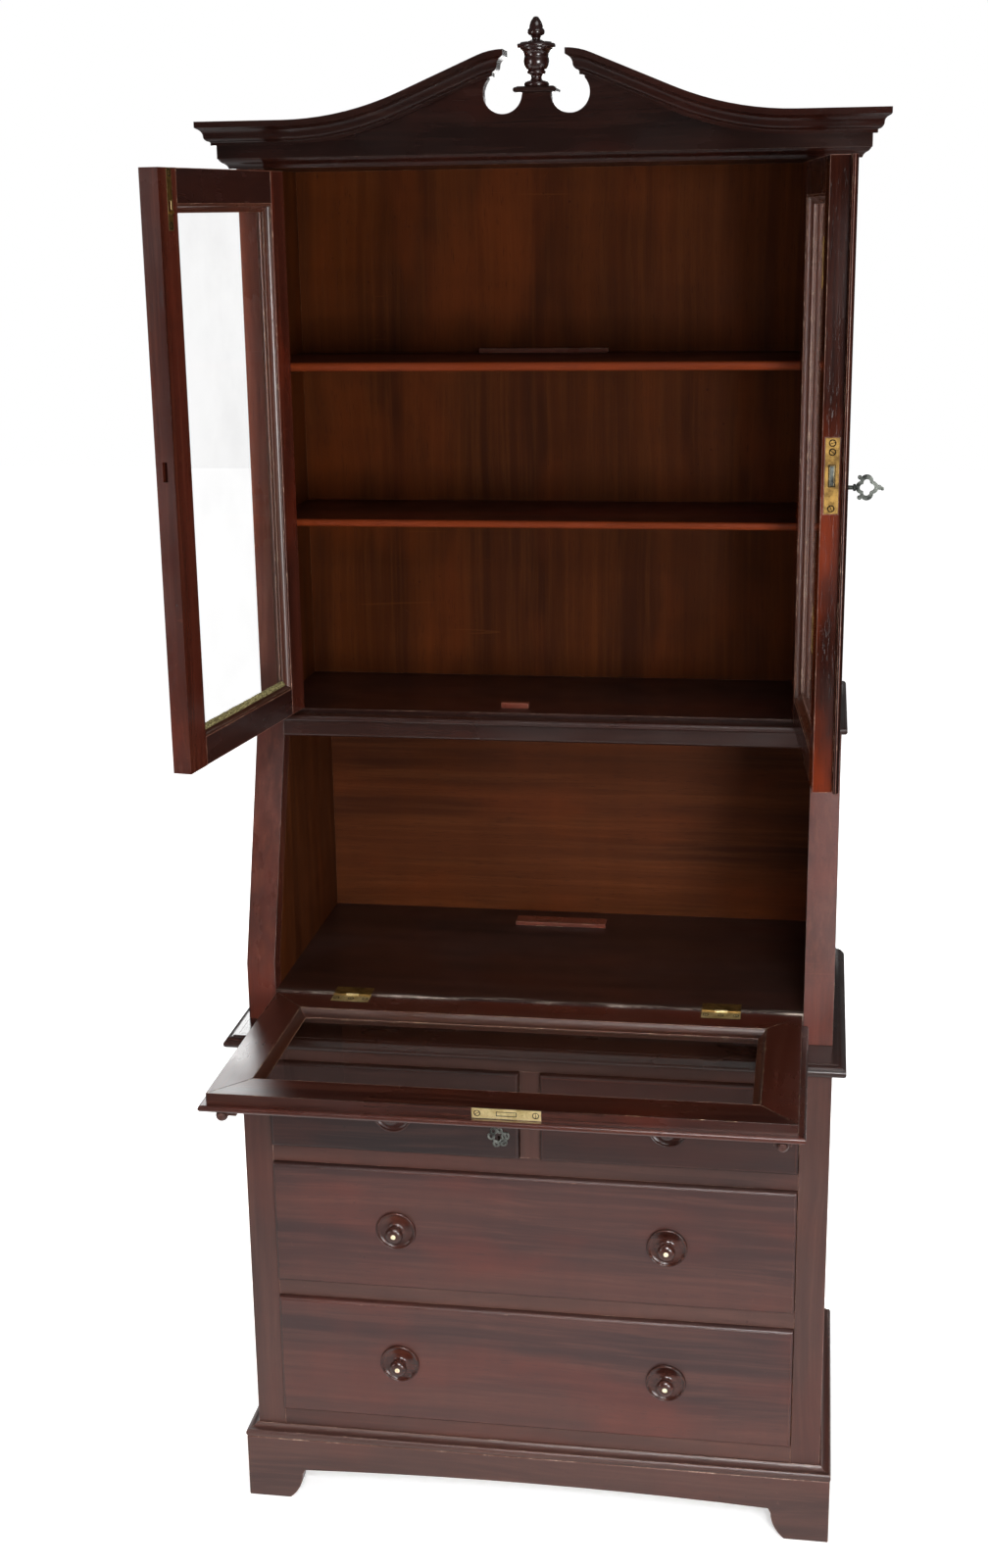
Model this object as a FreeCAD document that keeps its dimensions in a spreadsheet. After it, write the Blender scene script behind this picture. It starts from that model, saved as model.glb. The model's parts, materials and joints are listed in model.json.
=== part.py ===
import FreeCAD, Part
import math
import os
import re

import Sketcher

# A bureau bookcase: a chest of drawers on a bracket plinth, a sloping bureau with a glazed fall on it,
# and a bookcase with two glazed doors, a swan-neck pediment and a turned finial on that.
# It stands with both doors and the fall open, and the fall rests on its two lopers.
# Lengths are millimetres and angles are degrees. X runs across, Y from front to back, Z up.
# The origin is on the floor, under the middle of the piece as it stands.

SIZES = {
    # chest
    "chest_width": 800.0,
    "chest_depth": 432.0,
    "side_thickness": 20.0,
    "stile_width": 40.0,
    "frame_depth": 22.0,
    "back_thickness": 10.0,
    "base_rail_height": 43.5,
    "divider_height": 25.5,
    "top_rail_height": 21.7,
    "muntin_width": 28.0,
    "long_opening": 181.4,
    "small_opening": 124.5,
    "dust_board_thickness": 12.0,
    "runner_width": 40.0,
    "guide_height": 30.0,
    # plinth
    "plinth_height": 96.5,
    "plinth_projection": 15.0,
    "plinth_thickness": 22.0,
    "foot_width": 61.0,
    "foot_sweep_width": 19.5,
    "foot_sweep_height": 39.5,
    "foot_step": 3.5,
    "apron_lift": 46.5,
    "apron_crown": 55.0,
    "block_width": 40.0,
    "block_lift": 4.0,
    "plinth_moulding_projection": 16.0,
    "plinth_moulding_height": 16.9,
    # top of the chest
    "waist_thickness": 16.0,
    "waist_projection": 18.0,
    # bureau
    "bureau_setback": 52.6,
    "bureau_upright": 82.0,
    "bureau_rail_height": 22.5,
    "slope_angle": 71.0,
    "bureau_side_thickness": 39.5,
    "lipping_depth": 30.0,
    "bureau_back_thickness": 8.0,
    "writing_level": 44.0,
    "bureau_opening": 380.0,
    "bureau_rail_depth": 20.0,
    "rail_arris": 5.0,
    "bureau_top_thickness": 15.5,
    "mid_moulding_projection": 7.5,
    "mid_moulding_height": 9.5,
    "tray_gap": 0.5,
    # fall
    "fall_thickness": 22.0,
    "fall_drop": 2.2,
    "fall_side_gap": 1.2,
    "fall_top_gap": 1.5,
    "fall_lip_projection": 8.7,
    "fall_lip_setback": 3.0,
    "fall_seat_gap": 0.3,
    "fall_stile_width": 46.0,
    "fall_hinge_rail": 51.0,
    "fall_front_rail": 50.0,
    "fall_bead_width": 10.5,
    "fall_glass_depth": 11.5,
    "fall_back_bead_width": 9.0,
    "hinge_board_gap": 0.8,
    "hinge_fall_gap": 0.35,
    "glass_thickness": 3.0,
    "glass_gap": 0.3,
    # lopers
    "loper_width": 22.0,
    "loper_fall_gap": 0.3,
    "loper_top_gap": 4.0,
    "loper_back_gap": 4.4,
    "outer_guide_width": 8.0,
    "loper_reach": 260.0,
    "loper_gap": 0.5,
    "loper_lift": 0.3,
    "loper_guide_width": 10.0,
    "loper_rail_setback": 1.0,
    "loper_knob_reach": 30.0,
    "loper_knob_radius": 7.5,
    "dot_radius": 3.5,
    "dot_height": 0.5,
    # drawers
    "drawer_gap": 0.8,
    "drawer_proud": 9.0,
    "drawer_front_thickness": 21.0,
    "thumb_width": 3.4,
    "thumb_rim": 3.0,
    "thumb_step": 0.5,
    "drawer_back_gap": 9.8,
    "drawer_side_thickness": 10.0,
    "drawer_side_drop": 12.0,
    "drawer_bottom_thickness": 6.0,
    "drawer_bottom_lift": 8.0,
    "knob_radius": 28.0,
    "knob_reach": 22.0,
    "small_knob_level": 61.0,
    "long_knob_level": 90.6,
    "spigot_radius": 5.0,
    "spigot_gap": 0.1,
    # drawer lock and its escutcheon
    "key_offset": 41.5,
    "key_level": 33.0,
    "key_margin": 12.0,
    "keyhole_radius": 1.8,
    "escutcheon_width": 30.0,
    "escutcheon_thickness": 2.5,
    "scroll_rim": 2.2,
    "lock_case_width": 46.0,
    "lock_case_height": 40.0,
    "lock_case_depth": 9.0,
    "lock_case_wall": 2.0,
    "lock_plate_thickness": 1.5,
    "lock_throw": 6.0,
    "drawer_bolt_width": 18.0,
    "drawer_bolt_thickness": 4.0,
    "bolt_gap": 0.3,
    # bookcase
    "bookcase_inset": 2.5,
    "ledge_width": 18.9,
    "bookcase_back_inset": 16.9,
    "bookcase_side_thickness": 20.0,
    "bookcase_stile_width": 37.5,
    "bookcase_stile_depth": 20.0,
    "bookcase_bottom_thickness": 13.5,
    "bookcase_top_thickness": 12.0,
    "bookcase_opening": 717.0,
    "upper_shelf_level": 468.0,
    "upper_shelf_thickness": 12.0,
    "lower_shelf_level": 258.0,
    "lower_shelf_thickness": 10.0,
    "shelf_setback": 31.0,
    "shelf_gap": 0.5,
    "bearer_height": 10.0,
    "bearer_width": 12.0,
    "stop_width": 38.0,
    "stop_offset": 25.0,
    "stop_depth": 10.0,
    "stop_height": 8.0,
    "stop_gap": 0.9,
    "top_overhang": 11.6,
    # loose strips of wood
    "strip_height": 6.0,
    "strip_width": 14.0,
    "shelf_strip_left": 117.0,
    "shelf_strip_right": 65.0,
    "shelf_strip_setback": 19.0,
    "desk_strip_left": 70.0,
    "desk_strip_right": 65.0,
    "desk_strip_gap": 42.0,
    "desk_strip_width": 27.0,
    # doors
    "door_thickness": 23.6,
    "pin_inset": 0.4,
    "door_side_gap": 0.75,
    "door_meeting_gap": 0.8,
    "door_bottom_gap": 2.5,
    "door_top_gap": 3.6,
    "hinge_stile_width": 41.0,
    "free_stile_width": 46.0,
    "door_top_rail": 40.4,
    "door_bottom_rail": 36.5,
    "door_bead_width": 10.0,
    "door_bead_depth": 9.0,
    "left_door_angle": 98.5,
    "right_door_angle": 94.9,
    "butt_length": 63.0,
    "butt_inset": 90.0,
    "butt_thickness": 1.5,
    "butt_width": 21.0,
    "knuckle_radius": 3.2,
    "knuckle_clear": 0.3,
    "butt_pin_radius": 1.4,
    "pin_gap": 0.05,
    "knuckle_gap": 0.25,
    "astragal_width": 18.0,
    "astragal_overlap": 8.0,
    "astragal_thickness": 7.0,
    "bolt_plate_width": 13.5,
    "bolt_plate_length": 70.0,
    "bolt_plate_inset": 28.5,
    "bolt_radius": 3.0,
    "bolt_setback": 8.0,
    "bolt_travel": 10.0,
    "bolt_foot_gap": 2.0,
    "bolt_slot_margin": 18.0,
    "thumb_piece_radius": 2.2,
    "thumb_piece_reach": 4.0,
    "strike_length": 41.0,
    "strike_end": 6.9,
    "door_lock_level": 367.4,
    "door_lock_length": 84.6,
    "door_lock_plate_width": 15.7,
    "door_lock_depth": 34.0,
    "door_lock_case_thickness": 11.0,
    "door_lock_bolt_length": 23.0,
    "door_lock_bolt_thickness": 6.0,
    "door_lock_bolt_depth": 24.0,
    "door_lock_throw": 8.0,
    "key_radius": 2.4,
    "key_gap": 0.08,
    "key_tip_gap": 1.0,
    "door_key_level": 352.4,
    "door_key_inset": 17.0,
    "door_key_shank": 16.5,
    "door_key_bow_width": 25.0,
    "door_key_bow_height": 29.0,
    "door_key_bow_thickness": 3.0,
    # fall hinges and lock
    "fall_butt_inset": 108.5,
    "fall_butt_length": 52.0,
    "fall_butt_width": 23.0,
    "fall_butt_thickness": 1.8,
    "fall_knuckle_radius": 2.4,
    "fall_pin_radius": 1.1,
    "fall_lock_offset": 13.0,
    "fall_lock_length": 84.0,
    "fall_plate_gap": 0.65,
    "plate_margin": 0.5,
    "fall_lock_bolt_length": 23.0,
    "fall_lock_bolt_height": 4.0,
    "fall_lock_throw": 8.0,
    # pediment
    "bed_projection": 15.5,
    "bed_height": 12.0,
    "frieze_projection": 16.5,
    "frieze_thickness": 18.0,
    "frieze_height": 16.5,
    "cornice_projection": 38.5,
    "cornice_height": 29.0,
    "neck_flat": 75.5,
    "neck_angle": 22.3,
    "hollow_radius": 400.0,
    "crest_radius": 85.0,
    "neck_tip": 38.5,
    "scroll_drop": 50.6,
    "scroll_radius": 24.5,
    "cap_overhang": 9.0,
    "cap_thickness": 7.2,
    "cap_depth": 42.0,
    "cap_lap": 16.0,
    "cap_nose": 6.0,
    "finial_height": 82.0,
    "finial_radius": 24.4,
    "finial_setback": 4.0,
    "dust_cover_drop": 18.0,
    "overrun": 2.0,
}

doc = FreeCAD.newDocument("bureau_bookcase")
sheet = doc.addObject("Spreadsheet::Sheet", "Sizes")
nodes = []


class Size:
    """A number together with the sheet expression that gives it, so that one sum serves both."""

    def __init__(self, value, words):
        self.value = float(value)
        self.words = words

    def join(self, other, sign, value):
        return Size(value, f"({self.words} {sign} {as_size(other).words})")

    def __add__(self, other):
        return self.join(other, "+", self.value + as_size(other).value)

    def __sub__(self, other):
        return self.join(other, "-", self.value - as_size(other).value)

    def __mul__(self, other):
        return self.join(other, "*", self.value * as_size(other).value)

    def __truediv__(self, other):
        return self.join(other, "/", self.value / as_size(other).value)

    def __radd__(self, other):
        return as_size(other) + self

    def __rsub__(self, other):
        return as_size(other) - self

    def __rmul__(self, other):
        return as_size(other) * self

    def __neg__(self):
        return Size(-self.value, f"(0 - {self.words})")

    def bound(self):
        """The same expression as an object outside the sheet writes it."""
        return re.sub(r"\b([a-z][a-z_]+)\b(?!\()", r"Sizes.\1", self.words)


def as_size(number):
    return number if isinstance(number, Size) else Size(number, str(number))


def sine(angle):
    return Size(math.sin(math.radians(angle.value)), f"sin({angle.words})")


def cosine(angle):
    return Size(math.cos(math.radians(angle.value)), f"cos({angle.words})")


def root(area):
    return Size(math.sqrt(area.value), f"sqrt({area.words})")


def keep(name, size):
    """Write a size into the sheet under its own name, and hand it back under that name."""
    row = 1 + len(keep.names)
    keep.names.append(name)
    sheet.set(f"A{row}", name)
    sheet.set(f"B{row}", str(size.value) if size.words == name else "=" + size.words)
    sheet.setAlias(f"B{row}", name)
    return Size(size.value, name)


keep.names = []


class Named:
    """The driving sizes, read as s.name."""


s = Named()
for size_name, number in SIZES.items():
    setattr(s, size_name, keep(size_name, Size(number, size_name)))

BEND = "bend"


def bind(item, name, size):
    """Set a property from the sheet."""
    size = as_size(size)
    if size.words in ("0", "0.0"):
        return
    item.setExpression(name, size.bound())


def place(item, corner):
    for axis, size in zip("xyz", corner):
        bind(item, "Placement.Base." + axis, size)


def board(name, low, high):
    """A square-edged board between two opposite corners."""
    box = doc.addObject("Part::Box", name)
    for side, start, end in zip(("Length", "Width", "Height"), low, high):
        bind(box, side, end - start)
    place(box, low)
    return box


def boards(name, x_span, y_span, z_span):
    """The same, from a (low, high) pair along each axis."""
    return board(name, *zip(x_span, y_span, z_span))


def across(side, near, far):
    """A span in X between two distances from the middle, on the left (-1) or the right (1)."""
    return (near, far) if side > 0 else (-far, -near)


TURNS = {
    "x": FreeCAD.Rotation(FreeCAD.Vector(0, 1, 0), 90),
    "y": FreeCAD.Rotation(FreeCAD.Vector(1, 0, 0), -90),
    "z": FreeCAD.Rotation(),
    "front": FreeCAD.Rotation(FreeCAD.Vector(1, 0, 0), 90),
}


def rod(name, radius, start, axis, length):
    """A cylinder that starts at a point and runs along +X, +Y or +Z."""
    cylinder = doc.addObject("Part::Cylinder", name)
    cylinder.Placement = FreeCAD.Placement(FreeCAD.Vector(), TURNS[axis])
    bind(cylinder, "Radius", radius)
    bind(cylinder, "Height", length)
    place(cylinder, start)
    return cylinder


def cut(name, base, tools):
    """A piece with recesses or holes cut in it."""
    tool = tools[0]
    if len(tools) > 1:
        tool = doc.addObject("Part::Compound", name + "Tools")
        tool.Links = tools
    result = doc.addObject("Part::Cut", name)
    result.Base = base
    result.Tool = tool
    return result


def fuse(name, pieces):
    result = doc.addObject("Part::MultiFuse", name)
    result.Shapes = pieces
    result.Refine = True
    return result


def new_sketch(body, role, name):
    sketch = body.newObject("Sketcher::SketchObject", name)
    sketch.AttachmentSupport = ([p for p in body.Origin.OriginFeatures if p.Role == role][0], [""])
    sketch.MapMode = "FlatFace"
    return sketch


def pin_point(sketch, geometry, end, point):
    """Hold a sketch point at its two bound distances from the sketch's origin."""
    for kind, axis, size in (("DistanceX", -2, point[0]), ("DistanceY", -1, point[1])):
        size = as_size(size)
        if abs(size.value) < 1e-9:
            sketch.addConstraint(Sketcher.Constraint("PointOnObject", geometry, end, axis))
        else:
            number = sketch.addConstraint(Sketcher.Constraint(kind, -1, 1, geometry, end, size.value))
            sketch.setExpression(f"Constraints[{number}]", size.bound())


def flat(point):
    return FreeCAD.Vector(as_size(point[0]).value, as_size(point[1]).value, 0)


def arc_through(a, middle, b):
    """The arc from a to b past a middle point, run anticlockwise as sketches keep them, and its ends."""
    circle = Part.Circle(a, middle, b)
    centre = circle.Center
    angles = [math.atan2(point.y - centre.y, point.x - centre.x) for point in (a, b)]
    ends = (1, 2)
    if (middle - a).cross(b - middle).z < 0:
        angles.reverse()
        ends = (2, 1)
    if angles[1] < angles[0]:
        angles[1] += math.tau
    upright = Part.Circle(centre, FreeCAD.Vector(0, 0, 1), circle.Radius)
    return Part.ArcOfCircle(upright, *angles), ends


def draw(sketch, points, closed=True):
    """Lines through the points. A point marked BEND is one that an arc passes through on its way."""
    corners = [i for i, point in enumerate(points) if len(point) == 2]
    legs = list(zip(corners, corners[1:])) + ([(corners[-1], len(points) + corners[0])] if closed else [])
    first = last = None
    for start, end in legs:
        a, b = points[start], points[end % len(points)]
        if end - start == 2:
            middle = points[(start + 1) % len(points)]
            arc, ends = arc_through(flat(a), flat(middle), flat(b))
            leg = sketch.addGeometry(arc, False)
            dot = sketch.addGeometry(Part.Point(flat(middle)), True)
            pin_point(sketch, dot, 1, middle)
            sketch.addConstraint(Sketcher.Constraint("PointOnObject", dot, 1, leg))
        else:
            leg = sketch.addGeometry(Part.LineSegment(flat(a), flat(b)), False)
            ends = (1, 2)
        pin_point(sketch, leg, ends[0], a)
        if last:
            sketch.addConstraint(Sketcher.Constraint("Coincident", last[0], last[1], leg, ends[0]))
        first = first or (leg, ends[0])
        last = (leg, ends[1])
    if closed:
        sketch.addConstraint(Sketcher.Constraint("Coincident", last[0], last[1], first[0], first[1]))
    else:
        pin_point(sketch, last[0], last[1], points[-1])


def shaped(name, role, points, start, length):
    """A board sawn to an outline. It starts at a distance from the plane and is padded by a length.

    The plane's normal is +Z for XY, -Y for XZ and +X for YZ, and the pad follows +Z, +Y and +X.
    """
    body = doc.addObject("PartDesign::Body", name)
    sketch = new_sketch(body, role, name + "Outline")
    bind(sketch, "AttachmentOffset.Base.z", -start if role == "XZ_Plane" else start)
    draw(sketch, points)
    pad = body.newObject("PartDesign::Pad", name + "Pad")
    pad.Profile = sketch
    pad.Reversed = role == "XZ_Plane"
    bind(pad, "Length", length)
    return body


def pocket(body, name, role, circles, start, length):
    """Round holes bored into a body along its plane's pad direction."""
    sketch = new_sketch(body, role, name)
    bind(sketch, "AttachmentOffset.Base.z", -start if role == "XZ_Plane" else start)
    for x, y, radius in circles:
        ring = sketch.addGeometry(Part.Circle(flat((x, y)), FreeCAD.Vector(0, 0, 1), radius.value), False)
        pin_point(sketch, ring, 3, (x, y))
        number = sketch.addConstraint(Sketcher.Constraint("Radius", ring, radius.value))
        sketch.setExpression(f"Constraints[{number}]", radius.bound())
    hole = body.newObject("PartDesign::Pocket", name + "Pocket")
    hole.Profile = sketch
    hole.Reversed = role != "XZ_Plane"
    bind(hole, "Length", length)


def moulding(name, half_width, front_line, back_line, profile):
    """A moulding mitred round both front corners. Its profile counts outwards from the path, and up."""
    body = doc.addObject("PartDesign::Body", name)
    path = new_sketch(body, "XY_Plane", name + "Path")
    draw(path, [(-half_width, back_line), (-half_width, front_line),
                (half_width, front_line), (half_width, back_line)], closed=False)
    section = new_sketch(body, "XZ_Plane", name + "Profile")
    bind(section, "AttachmentOffset.Base.z", -back_line)
    draw(section, [(-(half_width + point[0]), *point[1:]) for point in profile])
    sweep = body.newObject("PartDesign::AdditivePipe", name + "Sweep")
    sweep.Profile = section
    sweep.Spine = (path, [])
    sweep.Transition = "Right corner"
    return body


def turned(name, profile, seat, axis):
    """A turned piece. Its profile is (radius, height) from its seat, along an axis named in TURNS."""
    body = doc.addObject("PartDesign::Body", name)
    section = new_sketch(body, "XZ_Plane", name + "Profile")
    draw(section, profile)
    spin = body.newObject("PartDesign::Revolution", name + "Turning")
    spin.Profile = section
    spin.ReferenceAxis = (section, ["V_Axis"])
    body.Placement = FreeCAD.Placement(FreeCAD.Vector(), TURNS[axis])
    place(body, seat)
    return body


def node(label, pieces):
    """One named sub-part: a single piece, or several separate solids of the same kind."""
    item = pieces[0]
    if len(pieces) > 1:
        item = doc.addObject("Part::Compound", "Group")
        item.Links = pieces
    item.Label = label
    nodes.append(item)
    return item


def shares_of(profile, wide, tall, foot=0):
    """A profile written as shares of its width and height, in real sizes from a foot level."""
    return [(share[0] * wide, share[1] * tall + foot, *share[2:]) for share in profile]


# Levels and lines that several pieces share.
opening_half = keep("opening_half", s.chest_width / 2 - s.stile_width)
bureau_half = keep("bureau_half", s.chest_width / 2 - s.bureau_side_thickness)
bookcase_half = keep("bookcase_half", s.chest_width / 2 - s.bookcase_inset)
loper_offset = keep("loper_offset", bureau_half - s.outer_guide_width - s.loper_gap
                    - s.loper_width / 2)
loper_rail_half = keep("loper_rail_half", loper_offset - s.loper_width / 2 - s.loper_gap)
loper_height = keep("loper_height", s.writing_level - s.fall_drop - s.fall_thickness - s.loper_lift
                    - s.loper_fall_gap)
loper_length = keep("loper_length", s.chest_depth - s.bureau_setback - s.bureau_back_thickness
                    - s.loper_back_gap)
door_opening_half = keep("door_opening_half", bookcase_half - s.bookcase_stile_width)

low_long_floor = keep("low_long_floor", s.plinth_height + s.base_rail_height)
high_long_floor = keep("high_long_floor", low_long_floor + s.long_opening + s.divider_height)
small_floor = keep("small_floor", high_long_floor + s.long_opening + s.divider_height)
chest_top = keep("chest_top", small_floor + s.small_opening + s.top_rail_height)
waist_top = keep("waist_top", chest_top + s.waist_thickness)
writing_top = keep("writing_top", waist_top + s.writing_level)
opening_top = keep("opening_top", waist_top + s.bureau_opening)
bureau_top = keep("bureau_top", opening_top + s.bureau_rail_height)
writing_board_floor = keep("writing_board_floor", waist_top + s.loper_lift + loper_height
                           + s.loper_top_gap)

# The fall shuts by turning through the angle between the slope and the level it lies at.
# Its lip then seats just in front of the sides, which sets the lip's thickness.
hinge_level = keep("hinge_level", writing_top - s.fall_drop + s.hinge_fall_gap / 2)
hinge_depth = keep("hinge_depth", s.bureau_setback + s.fall_seat_gap + s.hinge_fall_gap)
pin_behind_slope = keep("pin_behind_slope",
                        (hinge_depth - s.bureau_setback) * sine(s.slope_angle)
                        + (waist_top + s.bureau_upright - hinge_level) * cosine(s.slope_angle))
fall_lip = keep("fall_lip", s.fall_thickness - pin_behind_slope - s.fall_seat_gap)
fall_span = keep("fall_span", (opening_top - s.fall_top_gap - hinge_level
                               - s.fall_thickness * cosine(s.slope_angle)) / sine(s.slope_angle))
fall_reach = keep("fall_reach", fall_span - hinge_depth)
fall_lock_height = keep("fall_lock_height", s.fall_thickness - fall_lip - s.fall_plate_gap)

# The front face of the chest lies this far behind the origin, and what follows is measured from it.
face = keep("face", (fall_reach - s.chest_depth) / 2)
chest_back = keep("chest_back", face + s.chest_depth)
bureau_face = keep("bureau_face", face + s.bureau_setback)
bureau_top_face = keep("bureau_top_face", bureau_face + (s.bureau_opening - s.bureau_upright)
                       * cosine(s.slope_angle) / sine(s.slope_angle))
bookcase_face = keep("bookcase_face", bureau_top_face + s.ledge_width)
bookcase_back = keep("bookcase_back", chest_back - s.bookcase_back_inset)
hinge_line = keep("hinge_line", face + hinge_depth)
fall_front = keep("fall_front", face - fall_reach + s.fall_lip_projection)

tray_top = keep("tray_top", bureau_top + s.mid_moulding_height)
bookcase_floor = keep("bookcase_floor", bureau_top + s.bookcase_bottom_thickness)
bookcase_ceiling = keep("bookcase_ceiling", bookcase_floor + s.bookcase_opening)
bookcase_top = keep("bookcase_top", bookcase_ceiling + s.bookcase_top_thickness)
door_floor = keep("door_floor", bookcase_floor + s.door_bottom_gap)
door_ceiling = keep("door_ceiling", bookcase_ceiling - s.door_top_gap)
pin_offset = keep("pin_offset", door_opening_half - s.pin_inset)
pin_forward = keep("pin_forward", s.knuckle_radius + s.knuckle_clear)
pin_line = keep("pin_line", bookcase_face - pin_forward)
cornice_top = keep("cornice_top", bookcase_top + s.frieze_height + s.cornice_height)
bed_line = keep("bed_line", bookcase_face - s.top_overhang)
pediment_face = keep("pediment_face", bed_line - s.frieze_projection)
pediment_back = keep("pediment_back", pediment_face + s.frieze_thickness)

SIDES = (-1, 1)


# Plinth: bracket boards, their corner blocks and the moulding on top.

def bracket_outline(low, high, crown):
    """A plinth board from end to end, with a swept foot at each end."""
    sweep_shares = (0.72, 0.45)
    left = low + s.foot_width
    right = high - s.foot_width
    rise = s.foot_sweep_height
    return [(low, 0), (left, 0),
            (left + s.foot_sweep_width * sweep_shares[0], rise * sweep_shares[1], BEND),
            (left + s.foot_sweep_width, rise),
            (left + s.foot_sweep_width + s.foot_step, s.apron_lift),
            ((low + high) / 2, crown, BEND),
            (right - s.foot_sweep_width - s.foot_step, s.apron_lift),
            (right - s.foot_sweep_width, rise),
            (right - s.foot_sweep_width * sweep_shares[0], rise * sweep_shares[1], BEND),
            (right, 0), (high, 0), (high, s.plinth_height), (low, s.plinth_height)]


PLINTH_MOULDING_SHARES = [(0, 0), (0.88, 0), (1, 0.3, BEND), (0.86, 0.62), (0.76, 0.62),
                          (0.4, 0.72, BEND), (0.16, 1), (0, 1)]


def build_plinth():
    half = s.chest_width / 2 + s.plinth_projection
    front = face - s.plinth_projection
    behind = front + s.plinth_thickness
    pieces = [shaped("PlinthFront", "XZ_Plane", bracket_outline(-half, half, s.apron_crown),
                     front, s.plinth_thickness)]
    for side in SIDES:
        start = across(side, half - s.plinth_thickness, half)[0]
        pieces.append(shaped("PlinthSide", "YZ_Plane", bracket_outline(behind, chest_back, s.apron_lift
                             + s.foot_step), start, s.plinth_thickness))
    inner = half - s.plinth_thickness
    pieces.append(boards("PlinthBack", (-inner, inner), (chest_back - s.plinth_thickness, chest_back),
                         (s.apron_lift, s.plinth_height)))
    for side in SIDES:
        width = across(side, inner - s.block_width, inner)
        for start in (behind, chest_back - s.plinth_thickness - s.block_width):
            pieces.append(boards("PlinthBlock", width, (start, start + s.block_width),
                                 (s.block_lift, s.plinth_height)))
    node("plinth_boards", pieces)
    node("plinth_moulding", [moulding(
        "PlinthMoulding", s.chest_width / 2, face, chest_back,
        shares_of(PLINTH_MOULDING_SHARES, s.plinth_moulding_projection,
                  s.plinth_moulding_height, s.plinth_height))])


# Chest: sides, back, dust board, front frame, runners and the moulded top.

def build_chest():
    half = s.chest_width / 2
    inner = half - s.side_thickness
    behind = face + s.frame_depth
    panel = chest_back - s.back_thickness
    walls = (s.plinth_height, chest_top)
    case = [boards("ChestSide", across(side, inner, half), (behind, chest_back), walls)
            for side in SIDES]
    case.append(boards("ChestBack", (-inner, inner), (panel, chest_back), walls))
    case.append(boards("DustBoard", (-inner, inner), (behind, panel),
                       (s.plinth_height, s.plinth_height + s.dust_board_thickness)))
    node("chest_case", case)
    depth = (face, behind)
    frame = [boards("Stile", across(side, opening_half, half), depth, walls) for side in SIDES]
    rails = ((s.plinth_height, low_long_floor),
             (low_long_floor + s.long_opening, high_long_floor),
             (high_long_floor + s.long_opening, small_floor))
    frame += [boards("Rail", (-opening_half, opening_half), depth, span) for span in rails]
    top_rail = boards("TopRail", (-opening_half, opening_half), depth,
                      (small_floor + s.small_opening, chest_top))
    frame.append(cut("TopRailMortised", top_rail, [drawer_bolt_space()]))
    frame.append(boards("Muntin", (-s.muntin_width / 2, s.muntin_width / 2), depth,
                        (small_floor, small_floor + s.small_opening)))
    node("face_frame", frame)
    runners = []
    guides = []
    for floor in (low_long_floor, high_long_floor, small_floor):
        for side in SIDES:
            runners.append(boards("Runner", across(side, inner - s.runner_width, inner), (behind, panel),
                                  (floor - s.divider_height, floor)))
            guides.append(boards("Guide", across(side, opening_half, inner), (behind, panel),
                                 (floor, floor + s.guide_height)))
    middle = s.muntin_width / 2
    runners.append(boards("MiddleRunner", (-s.runner_width, s.runner_width), (behind, panel),
                          (small_floor - s.divider_height, small_floor)))
    guides.append(boards("MiddleGuide", (-middle, middle), (behind, panel),
                         (small_floor, small_floor + s.guide_height)))
    node("drawer_runners", runners + guides)


WAIST_SHARES = [(0, 0), (0.72, 0), (1, 0.3, BEND), (0.84, 0.66), (0.66, 0.86, BEND),
                (0.37, 0.92), (0.37, 1), (0, 1)]


def build_waist():
    half = s.chest_width / 2
    nose = shares_of(WAIST_SHARES, s.waist_projection, s.waist_thickness, chest_top)
    node("chest_top", [boards("ChestTop", (-half, half), (face, chest_back), (chest_top, waist_top)),
                       moulding("WaistMoulding", half, face, chest_back, nose)])


# Bureau: sides with a front lipping, back, writing board, top and the moulding that holds the bookcase.

def slope_outline(setback):
    """The sloping front edge of a side, from the chest's top upwards, set back by a distance."""
    return [(bureau_face + setback, waist_top), (bureau_face + setback, waist_top + s.bureau_upright),
            (bureau_top_face + setback, opening_top), (bureau_top_face + setback, bureau_top)]


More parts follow.
